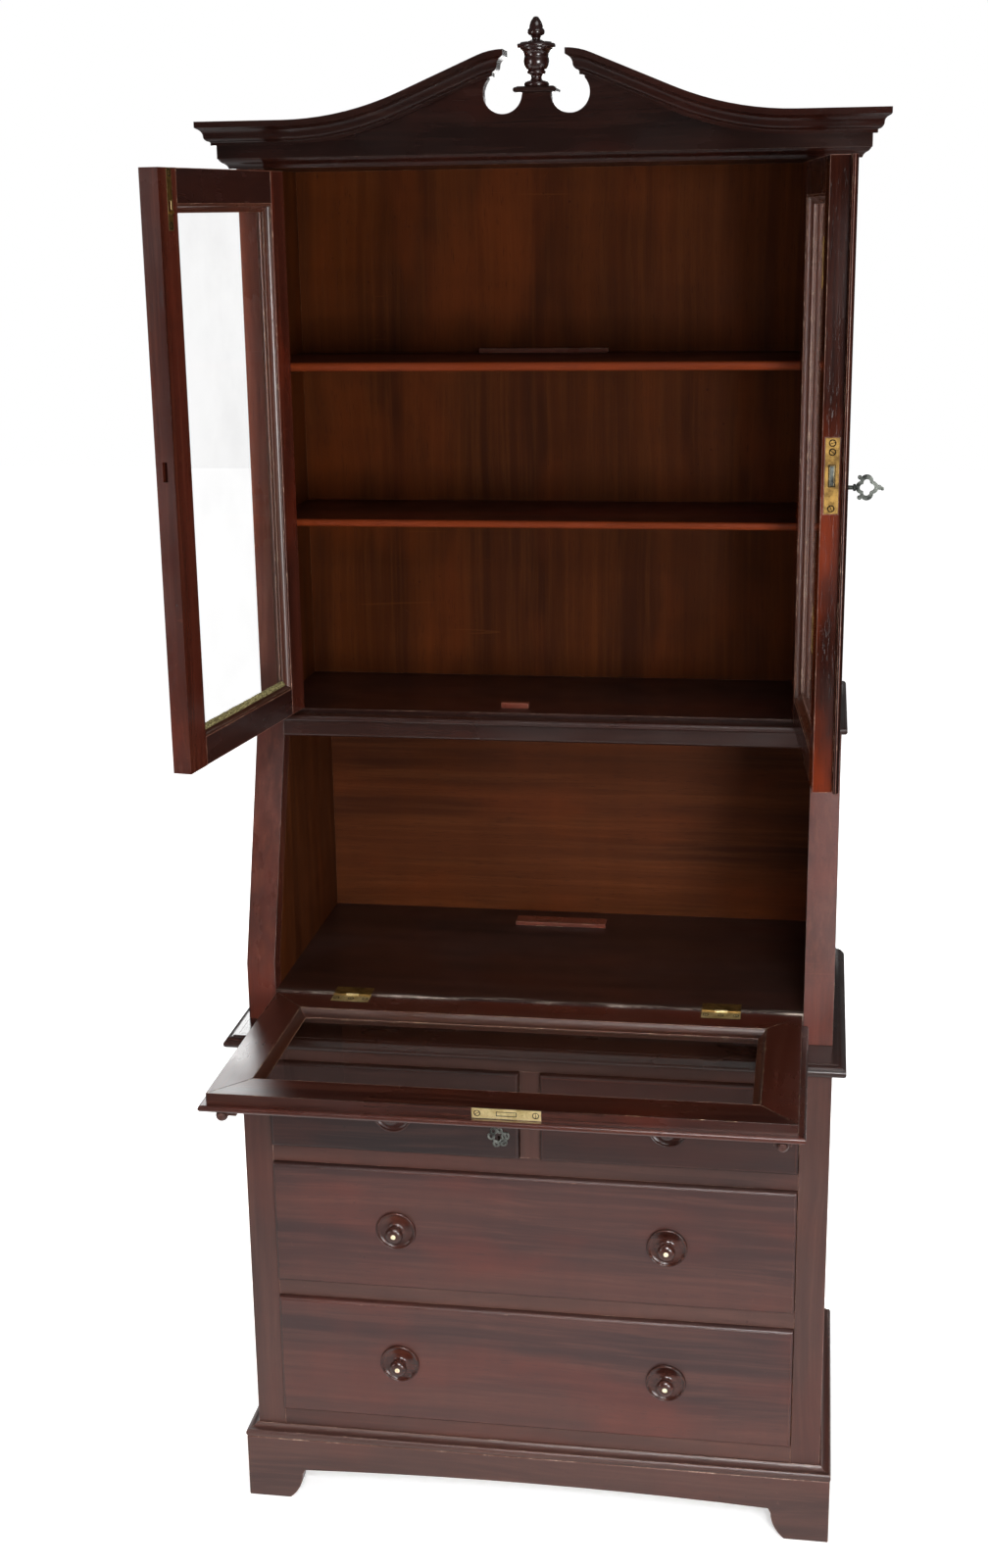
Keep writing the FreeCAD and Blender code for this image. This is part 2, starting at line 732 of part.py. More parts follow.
def build_bureau():
    behind = chest_back - s.bureau_back_thickness
    sides = []
    lippings = []
    back_edge = [(chest_back, bureau_top), (chest_back, waist_top)]
    for side in SIDES:
        start = across(side, bureau_half, s.chest_width / 2)[0]
        sides.append(shaped("BureauSide", "YZ_Plane", slope_outline(s.lipping_depth) + back_edge,
                            start, s.bureau_side_thickness))
        lippings.append(shaped("BureauLipping", "YZ_Plane",
                               slope_outline(0) + slope_outline(s.lipping_depth)[::-1],
                               start, s.bureau_side_thickness))
    wide = (-bureau_half, bureau_half)
    node("bureau_case", sides + [
        boards("BureauBack", wide, (behind, chest_back), (waist_top, bureau_top)),
        boards("BureauTop", wide, (bureau_top_face + s.bureau_rail_depth, behind),
               (bureau_top - s.bureau_top_thickness, bureau_top))])
    node("bureau_lippings", lippings)
    front = hinge_line + s.hinge_board_gap
    top = boards("WritingBoard", wide, (front, behind),
                 (writing_board_floor, writing_top))
    node("writing_board", [cut("WritingBoardRecessed", top, fall_butt_recesses("fixed"))])
    rail_front = bureau_top_face
    rail_back = bureau_top_face + s.bureau_rail_depth
    bend_share = 1 - math.sqrt(0.5)
    outline = [(rail_front, bureau_top), (rail_front, opening_top + s.rail_arris),
               (rail_front + s.rail_arris * bend_share, opening_top + s.rail_arris * bend_share, BEND),
               (rail_front + s.rail_arris, opening_top), (rail_back, opening_top),
               (rail_back, bureau_top)]
    under = writing_board_floor
    node("bureau_rails", [
        shaped("BureauRail", "YZ_Plane", outline, -bureau_half, bureau_half * 2),
        boards("LoperRail", (-loper_rail_half, loper_rail_half),
               (bureau_face + s.loper_rail_setback, bureau_face + s.frame_depth), (waist_top, under))])


MID_MOULDING_SHARES = [(0.4, 0), (1, 0.42, BEND), (0.3, 1)]


def build_mid_moulding():
    inner = bookcase_half + s.tray_gap
    lap = s.chest_width / 2 - inner
    nose = ([(-lap, bureau_top)] + shares_of(MID_MOULDING_SHARES, s.mid_moulding_projection,
                                             s.mid_moulding_height, bureau_top) + [(-lap, tray_top)])
    ledge = boards("Ledge", (-inner, inner), (bureau_top_face + lap, bookcase_face - s.tray_gap),
                   (bureau_top, tray_top))
    node("mid_moulding", [moulding("MidMoulding", s.chest_width / 2, bureau_top_face, chest_back, nose),
                          ledge])


# Lopers: two slides that carry the open fall, between guides under the writing board.

# The loper's knob, as shares of its radius and of its reach to the dot.
LOPER_KNOB_SHARES = [(0, 0), (0.72, 0), (0.8, 0.05, BEND), (0.72, 0.1), (0.44, 0.26, BEND),
                     (0.56, 0.49), (1, 0.75, BEND), (0.5, 1), (0, 1)]


def build_lopers():
    under = writing_board_floor
    near = loper_offset - s.loper_width / 2
    far = loper_offset + s.loper_width / 2
    guides = []
    behind = chest_back - s.bureau_back_thickness
    for side in SIDES:
        guides.append(boards("InnerGuide", across(side, loper_rail_half - s.loper_guide_width,
                                                   loper_rail_half),
                             (bureau_face + s.frame_depth, behind), (waist_top, under)))
        guides.append(boards("OuterGuide", across(side, far + s.loper_gap, bureau_half),
                             (bureau_face + s.loper_rail_setback, behind), (waist_top, under)))
    node("loper_guides", guides)
    floor = waist_top + s.loper_lift
    front = face - s.loper_reach
    knob_level_share = 0.61
    dot_radius_share = 0.7
    level = floor + loper_height * knob_level_share
    reach = s.loper_knob_reach
    profile = shares_of(LOPER_KNOB_SHARES, s.loper_knob_radius, reach - s.dot_height)
    for side, label in zip(SIDES, ("left", "right")):
        centre = loper_offset * side
        node(label + "_loper", [
            boards("Loper", across(side, near, far), (front, front + loper_length),
                   (floor, floor + loper_height)),
            turned("LoperKnob", profile, (centre, front, level), "front"),
            rod("LoperDot", s.dot_radius * dot_radius_share, (centre, front - reach, level), "y",
                s.dot_height)])


# Fall: a glazed frame with a lip, its beads, glass, butts and lock.

def fall_butt_recesses(which):
    """Spaces for the fall's butts in the writing board (fixed) or in the fall's hinge rail (moving)."""
    spaces = []
    for side in SIDES:
        centre = (bureau_half - s.fall_butt_inset) * side
        span = (centre - s.fall_butt_length / 2, centre + s.fall_butt_length / 2)
        room = s.fall_knuckle_radius + s.knuckle_gap
        if which == "fixed":
            leaf = (hinge_line, hinge_line + s.fall_butt_width)
            levels = (writing_top - s.fall_butt_thickness, writing_top + s.overrun)
        else:
            leaf = (hinge_line - s.fall_butt_width, hinge_line)
            levels = (writing_top - s.fall_drop - s.fall_butt_thickness, writing_top + s.overrun)
        spaces.append(boards("LeafSpace", span, leaf, levels))
        spaces.append(rod("KnuckleSpace", room, (span[0], hinge_line, hinge_level), "x",
                          s.fall_butt_length))
    return spaces


def fall_butts():
    """The butts' fixed halves, with their pins, and their moving halves."""
    third = s.fall_butt_length / 3
    gap = s.knuckle_gap / 2
    fixed = []
    moving = []
    for side in SIDES:
        start = (bureau_half - s.fall_butt_inset) * side - s.fall_butt_length / 2
        end = start + s.fall_butt_length
        room = s.fall_knuckle_radius + s.knuckle_gap
        pin = rod("Pin", s.fall_pin_radius, (start, hinge_line, hinge_level), "x", s.fall_butt_length)
        top = writing_top
        leaf = boards("Leaf", (start, end), (hinge_line, hinge_line + s.fall_butt_width),
                      (top - s.fall_butt_thickness, top))
        clear = rod("Clear", room, (start + third - gap, hinge_line, hinge_level), "x", third + gap * 2)
        ends = [rod("Knuckle", s.fall_knuckle_radius, (start, hinge_line, hinge_level), "x",
                    third - gap),
                rod("Knuckle", s.fall_knuckle_radius, (end - third + gap, hinge_line, hinge_level), "x",
                    third - gap)]
        fixed.append(fuse("FixedButt", [cut("LeafCleared", leaf, [clear]), pin] + ends))
        low = writing_top - s.fall_drop
        leaf = boards("Leaf", (start, end), (hinge_line - s.fall_butt_width, hinge_line),
                      (low - s.fall_butt_thickness, low))
        clears = [rod("Clear", room, (start, hinge_line, hinge_level), "x", third + gap),
                  rod("Clear", room, (end - third - gap, hinge_line, hinge_level), "x", third + gap)]
        knuckle = rod("Knuckle", s.fall_knuckle_radius, (start + third + gap, hinge_line, hinge_level), "x",
                      third - gap * 2)
        whole = fuse("MovingBody", [cut("LeafCleared", leaf, clears), knuckle])
        bore = rod("Bore", s.fall_pin_radius + s.pin_gap, (start, hinge_line, hinge_level), "x",
                   s.fall_butt_length)
        moving.append(cut("MovingButt", whole, [bore]))
    return fixed, moving


def ring(name, role, outer, profile, at):
    """A mitred frame round a rectangle. The profile counts inwards from it, and along the normal."""
    body = doc.addObject("PartDesign::Body", name)
    path = new_sketch(body, role, name + "Path")
    (left, right), (low, high) = outer
    draw(path, [(left, low), (right, low), (right, high), (left, high)])
    section = new_sketch(body, "YZ_Plane", name + "Profile")
    bind(section, "AttachmentOffset.Base.z", (left + right) / 2)
    if role == "XZ_Plane":
        draw(section, [(at + point[1], low + point[0], *point[2:]) for point in profile])
    else:
        draw(section, [(low + point[0], at + point[1], *point[2:]) for point in profile])
    sweep = body.newObject("PartDesign::AdditivePipe", name + "Sweep")
    sweep.Profile = section
    sweep.Spine = (path, [])
    sweep.Transition = "Right corner"
    return body


# The fall's lip and beads. A lip's heights are shares of its thickness, a bead's of its drop to the glass.
FALL_LIP_SHARES = [(0, 0), (0.7, 0), (1, 0.5, BEND), (0.7, 1), (0, 1)]
FALL_BEAD_SHARES = [(0, 0), (0.08, 0), (0.45, -0.6, BEND), (1, -0.88), (1, -1), (0, -1)]
FALL_BACK_BEAD_SHARES = [(0, 0), (1, 0), (0.5, -1), (0, -1)]


def build_fall():
    top = writing_top - s.fall_drop
    bottom = top - s.fall_thickness
    half = bureau_half - s.fall_side_gap
    back = hinge_line - s.hinge_fall_gap
    sight_x = half - s.fall_stile_width
    sight = (fall_front + s.fall_front_rail, back - s.fall_hinge_rail)
    outer = ((-half, fall_front), (half, fall_front), (half, back), (-half, back))
    inner = ((-sight_x, sight[0]), (sight_x, sight[0]), (sight_x, sight[1]), (-sight_x, sight[1]))
    members = []
    for corner in range(len(outer)):
        after = (corner + 1) % len(outer)
        points = [outer[corner], outer[after], inner[after], inner[corner]]
        members.append(shaped("FallMember", "XY_Plane", points, bottom, s.fall_thickness))
    members[0] = cut("FallFrontRail", members[0], [fall_lock_block("LockSpace")])
    members[2] = cut("FallHingeRail", members[2], fall_butt_recesses("moving"))
    lip = shares_of(FALL_LIP_SHARES, s.fall_lip_projection, fall_lip, bottom)
    members.append(moulding("FallLip", half, fall_front, hinge_line - s.fall_lip_setback, lip))
    node("fall_frame", members)
    glass_top = top - s.fall_glass_depth
    glass_bottom = glass_top - s.glass_thickness
    gap = s.glass_gap
    node("fall_glass", [boards("FallGlass", (gap - sight_x, sight_x - gap),
                               (sight[0] + gap, sight[1] - gap), (glass_bottom, glass_top))])
    around = ((-sight_x, sight_x), sight)
    face_bead = shares_of(FALL_BEAD_SHARES, s.fall_bead_width, s.fall_glass_depth)
    back_bead = shares_of(FALL_BACK_BEAD_SHARES, s.fall_back_bead_width, glass_bottom - bottom)
    node("fall_beads", [ring("FallBead", "XY_Plane", around, face_bead, top),
                        ring("FallBackBead", "XY_Plane", around, back_bead, glass_bottom)])


def fall_lock_block(name):
    """The space that the fall's lock fills: a plate on the free edge above the lip, and a case behind."""
    middle = s.fall_lock_offset
    levels = (writing_top - s.fall_drop - fall_lock_height, writing_top - s.fall_drop - s.plate_margin)
    plate = boards(name + "Plate", (middle - s.fall_lock_length / 2, middle + s.fall_lock_length / 2),
                   (fall_front, fall_front + s.lock_plate_thickness), levels)
    case = boards(name + "Case", (middle - s.lock_case_width / 2, middle + s.lock_case_width / 2),
                  (fall_front, fall_front + s.lock_case_height), levels)
    return fuse(name, [plate, case])


def build_fall_brass(butts):
    middle = s.fall_lock_offset
    half = s.fall_lock_bolt_length / 2
    level = writing_top - s.fall_drop - (fall_lock_height + s.plate_margin) / 2
    rise = s.fall_lock_bolt_height / 2
    depth = s.lock_case_height - s.lock_case_wall
    gap = s.bolt_gap
    space = boards("BoltSpace", (middle - half - gap, middle + half + gap),
                   (fall_front - s.overrun, fall_front + depth), (level - rise - gap, level + rise + gap))
    node("fall_brass", butts + [cut("FallLock", fall_lock_block("FallLockBlock"), [space])])
    node("fall_lock_bolt", [boards("FallLockBolt", (middle - half, middle + half),
                                   (fall_front, fall_front + depth - s.fall_lock_throw),
                                   (level - rise, level + rise))])


# Drawers: moulded front, box, and turned knobs with an inlaid dot. One has a lock and an escutcheon.

KNOB_SHARES = [(0, 0), (1, 0), (1, 0.07), (0.985, 0.16, BEND), (0.94, 0.18), (0.905, 0.14),
               (0.58, 0.045, BEND), (0.3, 0.09), (0.215, 0.3, BEND), (0.33, 0.6),
               (0.395, 0.74, BEND), (0.35, 0.89), (0.25, 0.965, BEND), (0.125, 0.98), (0, 0.98)]


def drawer_front(name, width, levels, holes):
    """A board whose outer edges are thumb-moulded round a raised field."""
    front = face - s.drawer_proud
    low, high = levels
    body = shaped(name, "XZ_Plane", [(width[0], low), (width[1], low), (width[1], high), (width[0], high)],
                  front, s.drawer_front_thickness)
    pocket(body, name + "Spigots", "XZ_Plane", holes, front, s.drawer_front_thickness)
    path = new_sketch(body, "XZ_Plane", name + "Edge")
    draw(path, [(width[0], low), (width[1], low), (width[1], high), (width[0], high)])
    section = new_sketch(body, "YZ_Plane", name + "Thumb")
    bind(section, "AttachmentOffset.Base.z", (width[0] + width[1]) / 2)
    out = front - s.overrun
    rim = front + s.thumb_rim
    inset = low + s.thumb_width
    bend_shares = (0.36, 0.38)
    rise = s.thumb_rim - s.thumb_step
    draw(section, [(out, low - s.overrun), (rim, low - s.overrun), (rim, low),
                   (front + s.thumb_step + rise * bend_shares[0], low + s.thumb_width * bend_shares[1], BEND),
                   (front + s.thumb_step, inset), (out, inset)])
    groove = body.newObject("PartDesign::SubtractivePipe", name + "Moulding")
    groove.Profile = section
    groove.Spine = (path, [])
    groove.Transition = "Right corner"
    return body


def drawer_box(width, levels):
    """Sides, back and bottom behind a front, open at the top."""
    front = face - s.drawer_proud + s.drawer_front_thickness
    back = chest_back - s.back_thickness - s.drawer_back_gap
    side = s.drawer_side_thickness
    low, high = levels
    top = high - s.drawer_side_drop
    inner = (width[0] + side, width[1] - side)
    floor = low + s.drawer_bottom_lift
    return [boards("DrawerSide", (width[0], width[0] + side), (front, back), (low, top)),
            boards("DrawerSide", (width[1] - side, width[1]), (front, back), (low, top)),
            boards("DrawerBack", inner, (back - side, back), (floor, top)),
            boards("DrawerBottom", inner, (front, back - side),
                   (floor, floor + s.drawer_bottom_thickness))]


def build_drawer(label, opening, levels, knob_places, knob_level):
    gap = s.drawer_gap
    width = (opening[0] + gap, opening[1] - gap)
    heights = (levels[0] + gap, levels[1] - gap)
    front = face - s.drawer_proud
    holes = [(x, knob_level, s.spigot_radius + s.spigot_gap) for x in knob_places]
    body = drawer_front("DrawerFront", width, heights, holes)
    if label == "small_drawer_left":
        body = cut("DrawerFrontMortised", body, [drawer_lock_block("LockSpace"), keyhole_space()])
    node(label + "_front", [body])
    node(label + "_box", drawer_box(width, heights))
    profile = [(0, -s.drawer_front_thickness), (s.spigot_radius, -s.drawer_front_thickness),
               (s.spigot_radius, 0)] + shares_of(KNOB_SHARES, s.knob_radius, s.knob_reach)[1:]
    dot_front = front - s.knob_reach * KNOB_SHARES[-1][1] - s.dot_height
    knobs = [turned("Knob", profile, (x, front, knob_level), "front") for x in knob_places]
    knobs += [rod("Dot", s.dot_radius, (x, dot_front, knob_level), "y", s.dot_height)
              for x in knob_places]
    node(label + "_knobs", knobs)


def build_drawers():
    middle = s.muntin_width / 2
    small = (small_floor, small_floor + s.small_opening)
    knob_offset = (opening_half + middle) / 2
    for side, label in zip(SIDES, ("left", "right")):
        build_drawer("small_drawer_" + label, across(side, middle, opening_half), small,
                     [knob_offset * side], small_floor + s.small_knob_level)
    for label, floor in (("upper", high_long_floor), ("lower", low_long_floor)):
        build_drawer("long_drawer_" + label, (-opening_half, opening_half),
                     (floor, floor + s.long_opening),
                     [knob_offset * side for side in SIDES], floor + s.long_knob_level)


def drawer_lock_block(name):
    """The space that the small drawer's lock fills, let into the back of its front."""
    middle = -s.key_offset
    back = face - s.drawer_proud + s.drawer_front_thickness
    top = small_floor + s.small_opening - s.drawer_gap
    return boards(name, (middle - s.lock_case_width / 2, middle + s.lock_case_width / 2),
                  (back - s.lock_case_depth, back), (small_floor + s.key_level - s.key_margin, top))


def keyhole_space():
    """The keyhole: a round hole through the front into the lock's case, with a slot under it."""
    front = face - s.drawer_proud
    level = small_floor + s.key_level
    length = s.drawer_front_thickness - s.lock_case_depth / 2
    slot_share = 3
    hole = rod("KeyHole", s.keyhole_radius, (-s.key_offset, front, level), "y", length)
    slot = boards("KeySlot", (-s.key_offset - s.keyhole_radius / 2, -s.key_offset + s.keyhole_radius / 2),
                  (front, front + length), (level - s.keyhole_radius * slot_share, level))
    return fuse("Keyhole", [hole, slot])


def drawer_bolt_span(gap):
    """The drawer bolt's place across and through the front, widened by a gap."""
    back = face - s.drawer_proud + s.drawer_front_thickness
    middle = back - s.lock_case_depth / 2
    half = s.drawer_bolt_width / 2
    rise = s.drawer_bolt_thickness / 2
    return ((-s.key_offset - half - gap, -s.key_offset + half + gap),
            (middle - rise - gap, middle + rise + gap))


def drawer_bolt_space():
    """The mortise in the chest's top rail that the drawer's bolt rises into."""
    opening = small_floor + s.small_opening
    return boards("BoltMortise", *drawer_bolt_span(s.bolt_gap),
                  (opening - s.overrun, opening + s.lock_throw + s.overrun))


def build_drawer_lock():
    top = small_floor + s.small_opening - s.drawer_gap
    foot = small_floor + s.key_level + s.key_margin
    space = boards("BoltSpace", *drawer_bolt_span(s.bolt_gap), (foot, top + s.overrun))
    node("drawer_lock", [cut("DrawerLock", drawer_lock_block("DrawerLockBlock"),
                             [space, keyhole_space()])])
    node("drawer_lock_bolt", [boards("DrawerLockBolt", *drawer_bolt_span(0),
                                     (foot + s.lock_throw, top))])
    build_escutcheon()


# The escutcheon's scrolls: each ring's place across and up, and its radius, as shares of the half width.
SCROLLS_SHARES = [(0.08, 0, 0.56), (-0.66, 0.1, 0.27), (-0.46, 0.62, 0.26), (0.08, 0.68, 0.2),
                  (0.62, 0.16, 0.3), (0.42, -0.44, 0.3), (-0.2, -0.6, 0.26)]


def build_escutcheon():
    """Open scrollwork round the keyhole: rings of one thickness that run through one another."""
    front = face - s.drawer_proud - s.escutcheon_thickness
    radius = s.escutcheon_width / 2
    rim = s.scroll_rim / 2
    rings = []
    for x_share, z_share, size_share in SCROLLS_SHARES:
        centre = (radius * x_share - s.key_offset, front, small_floor + s.key_level + radius * z_share)
        disc = rod("Scroll", radius * size_share + rim, centre, "y", s.escutcheon_thickness)
        eye = rod("ScrollEye", radius * size_share - rim, centre, "y", s.escutcheon_thickness)
        rings.append(cut("ScrollRing", disc, [eye]))
    node("drawer_escutcheon", [fuse("Escutcheon", rings)])


# Bookcase: bottom, sides, stiles, top, back, shelves and their bearers.

def build_bookcase():
    half = bookcase_half
    inner = half - s.bookcase_side_thickness
    stile_back = bookcase_face + s.bookcase_stile_depth
    panel = bookcase_back - s.back_thickness
    walls = (bookcase_floor, bookcase_ceiling)
    case = [boards("BookcaseSide", across(side, inner, half), (stile_back, bookcase_back), walls)
            for side in SIDES]
    case.append(boards("BookcaseBack", (-inner, inner), (panel, bookcase_back), walls))
    stiles = []
    for side in SIDES:
        stile = boards("Stile", across(side, door_opening_half, half), (bookcase_face, stile_back), walls)
        stiles.append(cut("StileRecessed", stile, [door_butt_space(side, level)
                                                   for level in butt_levels()]))
    node("bookcase_stiles", stiles)
    top = boards("BookcaseTop", (-half, half), (bed_line, bookcase_back), (bookcase_ceiling, bookcase_top))
    node("bookcase_boards", [
        boards("BookcaseBottom", (-half, half), (bookcase_face, bookcase_back),
               (bureau_top, bookcase_floor)),
        cut("BookcaseTopBored", top, [strike_space("PlateSpace"), bolt_hole("BoltHole")])])
    shelves = []
    front = bookcase_face + s.shelf_setback
    reach = inner - s.shelf_gap
    for level, thick in ((s.lower_shelf_level, s.lower_shelf_thickness),
                         (s.upper_shelf_level, s.upper_shelf_thickness)):
        top = bookcase_floor + level
        round_front = thick / 2
        outline = [(panel, top - thick), (panel, top), (front + round_front, top),
                   (front, top - round_front, BEND), (front + round_front, top - thick)]
        shelves.append(shaped("Shelf", "YZ_Plane", outline, -reach, reach * 2))
        for side in SIDES:
            case.append(boards("Bearer", across(side, inner - s.bearer_width, inner),
                               (front + s.bearer_width, panel),
                               (top - thick - s.bearer_height, top - thick)))
    node("bookcase_case", case)
    node("shelves", shelves)
    stop_front = bookcase_face + s.door_thickness + s.stop_gap
    stop_low = -(s.stop_offset + s.stop_width)
    upper = bookcase_floor + s.upper_shelf_level
    desk_back = chest_back - s.bureau_back_thickness - s.desk_strip_gap
    node("loose_strips", [
        boards("DoorStop", (stop_low, -s.stop_offset), (stop_front, stop_front + s.stop_depth),
               (bookcase_floor, bookcase_floor + s.stop_height)),
        boards("ShelfStrip", (-s.shelf_strip_left, s.shelf_strip_right),
               (panel - s.shelf_strip_setback, panel - s.shelf_strip_setback + s.strip_width),
               (upper, upper + s.strip_height)),
        boards("DeskStrip", (-s.desk_strip_left, s.desk_strip_right),
               (desk_back - s.desk_strip_width, desk_back),
               (writing_top, writing_top + s.strip_height))])


def strike_space(name):
    """The strike plate for the left door's bolt, let into the underside of the bookcase's top."""
    middle = bookcase_face + s.door_thickness - s.bolt_setback
    end = door_width() - pin_offset - s.bolt_plate_inset + s.strike_end
    return boards(name, (end - s.strike_length, end),
                  (middle - s.bolt_plate_width / 2, middle + s.bolt_plate_width / 2),
                  (bookcase_ceiling, bookcase_ceiling + s.lock_plate_thickness))


def bolt_hole(name):
    """The hole that the left door's bolt rises into when the door is shut."""
    return rod(name, s.bolt_radius + s.bolt_gap,
               (door_width() - pin_offset - s.bolt_plate_inset,
                bookcase_face + s.door_thickness - s.bolt_setback, bookcase_ceiling), "z",
               s.bookcase_top_thickness - s.overrun)


# Doors: each is made shut, from its pins, and then turned open. Distances run from the pins.

def door_width():
    """From the pins to the meeting edge."""
    return pin_offset - s.door_meeting_gap / 2


def door_edge():
    """From the pins to the hinged edge."""
    return s.door_side_gap - s.pin_inset


def butt_levels():
    return (door_floor + s.butt_inset, door_ceiling - s.butt_inset - s.butt_length)


def door_butt_space(side, level):
    """The recess in a bookcase stile for the fixed leaf of a butt."""
    return boards("ButtSpace", across(side, door_opening_half, door_opening_half + s.butt_thickness),
                  (bookcase_face, pin_line + pin_forward + s.butt_width), (level, level + s.butt_length))


def butt_leaf(x_span, level, outer):
    """One leaf of a door butt with its knuckles, from the pin line at y 0 to its back edge."""
    third = s.butt_length / 3
    gap = s.knuckle_gap / 2
    leaf = boards("Leaf", x_span, (pin_forward, pin_forward + s.butt_width),
                  (level, level + s.butt_length))
    spans = ((level, level + third - gap), (level + third * 2 + gap, level + s.butt_length))
    if not outer:
        spans = ((level + third + gap, level + third * 2 - gap),)
    pieces = [leaf]
    for low, high in spans:
        pieces.append(rod("Knuckle", s.knuckle_radius, (0, 0, low), "z", high - low))
        pieces.append(boards("Web", x_span, (0, pin_forward), (low, high)))
    return pieces


def build_case_brass(fall_fixed):
    """The fixed halves of all the butts, and the strike plate for the left door's bolt."""
    fixed = fall_fixed + [cut("BoltStrike", strike_space("Strike"), [bolt_hole("StrikeHole")])]
    for side in SIDES:
        inset = s.pin_inset
        leaf = across(side, inset, inset + s.butt_thickness)
        for level in butt_levels():
            pieces = butt_leaf(leaf, level, True)
            pieces.append(rod("Pin", s.butt_pin_radius, (0, 0, level), "z", s.butt_length))
            butt = fuse("FixedButt", pieces)
            place(butt, (pin_offset * side, pin_line, 0))
            fixed.append(butt)
    node("case_brass", fixed)


class Door:
    """One door's own frame. Left is -1 and right is 1, and u runs from the pins to the free edge."""

    def __init__(self, side, label, angle):
        self.side = side
        self.label = label
        self.angle = angle

    def span(self, near, far):
        return (near, far) if self.side < 0 else (-far, -near)

    def point(self, u):
        return as_size(u) if self.side < 0 else -u

    def node(self, label, pieces):
        """Group the pieces and turn them open about the pins."""
        group = doc.addObject("Part::Compound", "DoorPieces")
        group.Links = pieces
        turn = FreeCAD.Rotation(FreeCAD.Vector(0, 0, self.side), self.angle.value)
        group.Placement = FreeCAD.Placement(FreeCAD.Vector(), turn)
        bind(group, "Placement.Rotation.Angle", self.angle)
        place(group, (pin_offset * self.side, pin_line, 0))
        group.Label = self.label + "_door_" + label
        nodes.append(group)


# A door bead's and the astragal's sections, as shares of their width and depth.
DOOR_BEAD_SHARES = [(0, 0), (1, 0), (1, 0.25), (0.55, 0.45, BEND), (0.25, 1), (0, 1)]
ASTRAGAL_SHARES = [(0, 0), (0, -0.4), (0.5, -1, BEND), (1, -0.4), (1, 0)]


def build_door(door):
    edge = door_edge()
    free = door_width()
    front = pin_forward
    back = front + s.door_thickness
    depth = (front, back)
    inner = (edge + s.hinge_stile_width, free - s.free_stile_width)
    rails = (door_floor + s.door_bottom_rail, door_ceiling - s.door_top_rail)
    hinge_stile = boards("HingeStile", door.span(edge, inner[0]), depth, (door_floor, door_ceiling))
    recesses = [boards("ButtSpace", door.span(edge, edge + s.butt_thickness),
                       (front, front + s.butt_width), (level, level + s.butt_length))
                for level in butt_levels()]
    free_stile = boards("FreeStile", door.span(inner[1], free), depth, (door_floor, door_ceiling))
    spaces = bolt_spaces(door) if door.side < 0 else [door_lock_block(door, "LockSpace"),
                                                      door_key_space(door)]
    door.node("frame", [
        cut("HingeStileRecessed", hinge_stile, recesses),
        cut("FreeStileMortised", free_stile, spaces),
        boards("BottomRail", door.span(*inner), depth, (door_floor, rails[0])),
        boards("TopRail", door.span(*inner), depth, (rails[1], door_ceiling))])
    glass_front = front + (s.door_thickness - s.glass_thickness) / 2
    glass_back = glass_front + s.glass_thickness
    gap = s.glass_gap
    door.node("glass", [boards("Pane", door.span(inner[0] + gap, inner[1] - gap),
                               (glass_front, glass_back), (rails[0] + gap, rails[1] - gap))])
    around = (door.span(*inner), rails)
    inside = shares_of(DOOR_BEAD_SHARES, s.door_bead_width, s.door_bead_depth)
    outside = [(x, -y, *bend) for x, y, *bend in inside]
    door.node("beads", [ring("InnerBead", "XZ_Plane", around, inside, glass_back),
                        ring("OuterBead", "XZ_Plane", around, outside, glass_front)])
    brass = [bolt_plate(door) if door.side < 0 else door_lock(door)]
    for level in butt_levels():
        whole = fuse("MovingButt", butt_leaf(door.span(edge, edge + s.butt_thickness), level, False))
        bore = rod("Bore", s.butt_pin_radius + s.pin_gap, (0, 0, level), "z", s.butt_length)
        brass.append(cut("MovingButtBored", whole, [bore]))
    door.node("brass", brass)


def bolt_spaces(door):
    """Spaces in the left door for its flush bolt, its plate and the other door's lock bolt."""
    u = door_width() - s.bolt_plate_inset
    back = pin_forward + s.door_thickness
    plate = boards("PlateSpace", door.span(u - s.bolt_plate_width / 2, u + s.bolt_plate_width / 2),
                   (back - s.lock_plate_thickness, back),
                   (door_ceiling - s.bolt_plate_length, door_ceiling))
    bore = rod("BoltBore", s.bolt_radius + s.bolt_gap, (door.point(u), back - s.bolt_setback,
               door_ceiling - s.bolt_plate_length), "z", s.bolt_plate_length)
    slot = boards("KnobSlot", door.span(u - s.thumb_piece_radius - s.bolt_gap,
                                        u + s.thumb_piece_radius + s.bolt_gap),
                  (back - s.bolt_setback, back), bolt_slot_span())
    strike = boards("LockBoltStrike", door.span(door_width() - s.door_lock_throw - s.overrun, door_width()),
                    lock_bolt_depth(s.bolt_gap), lock_bolt_levels(s.bolt_gap))
    return [plate, bore, slot, strike]


def bolt_slot_span():
    """The heights that the flush bolt's thumb piece travels between."""
    low = door_ceiling - s.bolt_plate_length + s.bolt_slot_margin
    return (low, low + s.bolt_travel + (s.thumb_piece_radius + s.bolt_gap) * 2)


def lock_bolt_depth(gap):
    """The door lock's bolt through the door's thickness, widened by a gap."""
    middle = pin_forward + s.door_thickness / 2
    return (middle - s.door_lock_bolt_thickness / 2 - gap, middle + s.door_lock_bolt_thickness / 2 + gap)


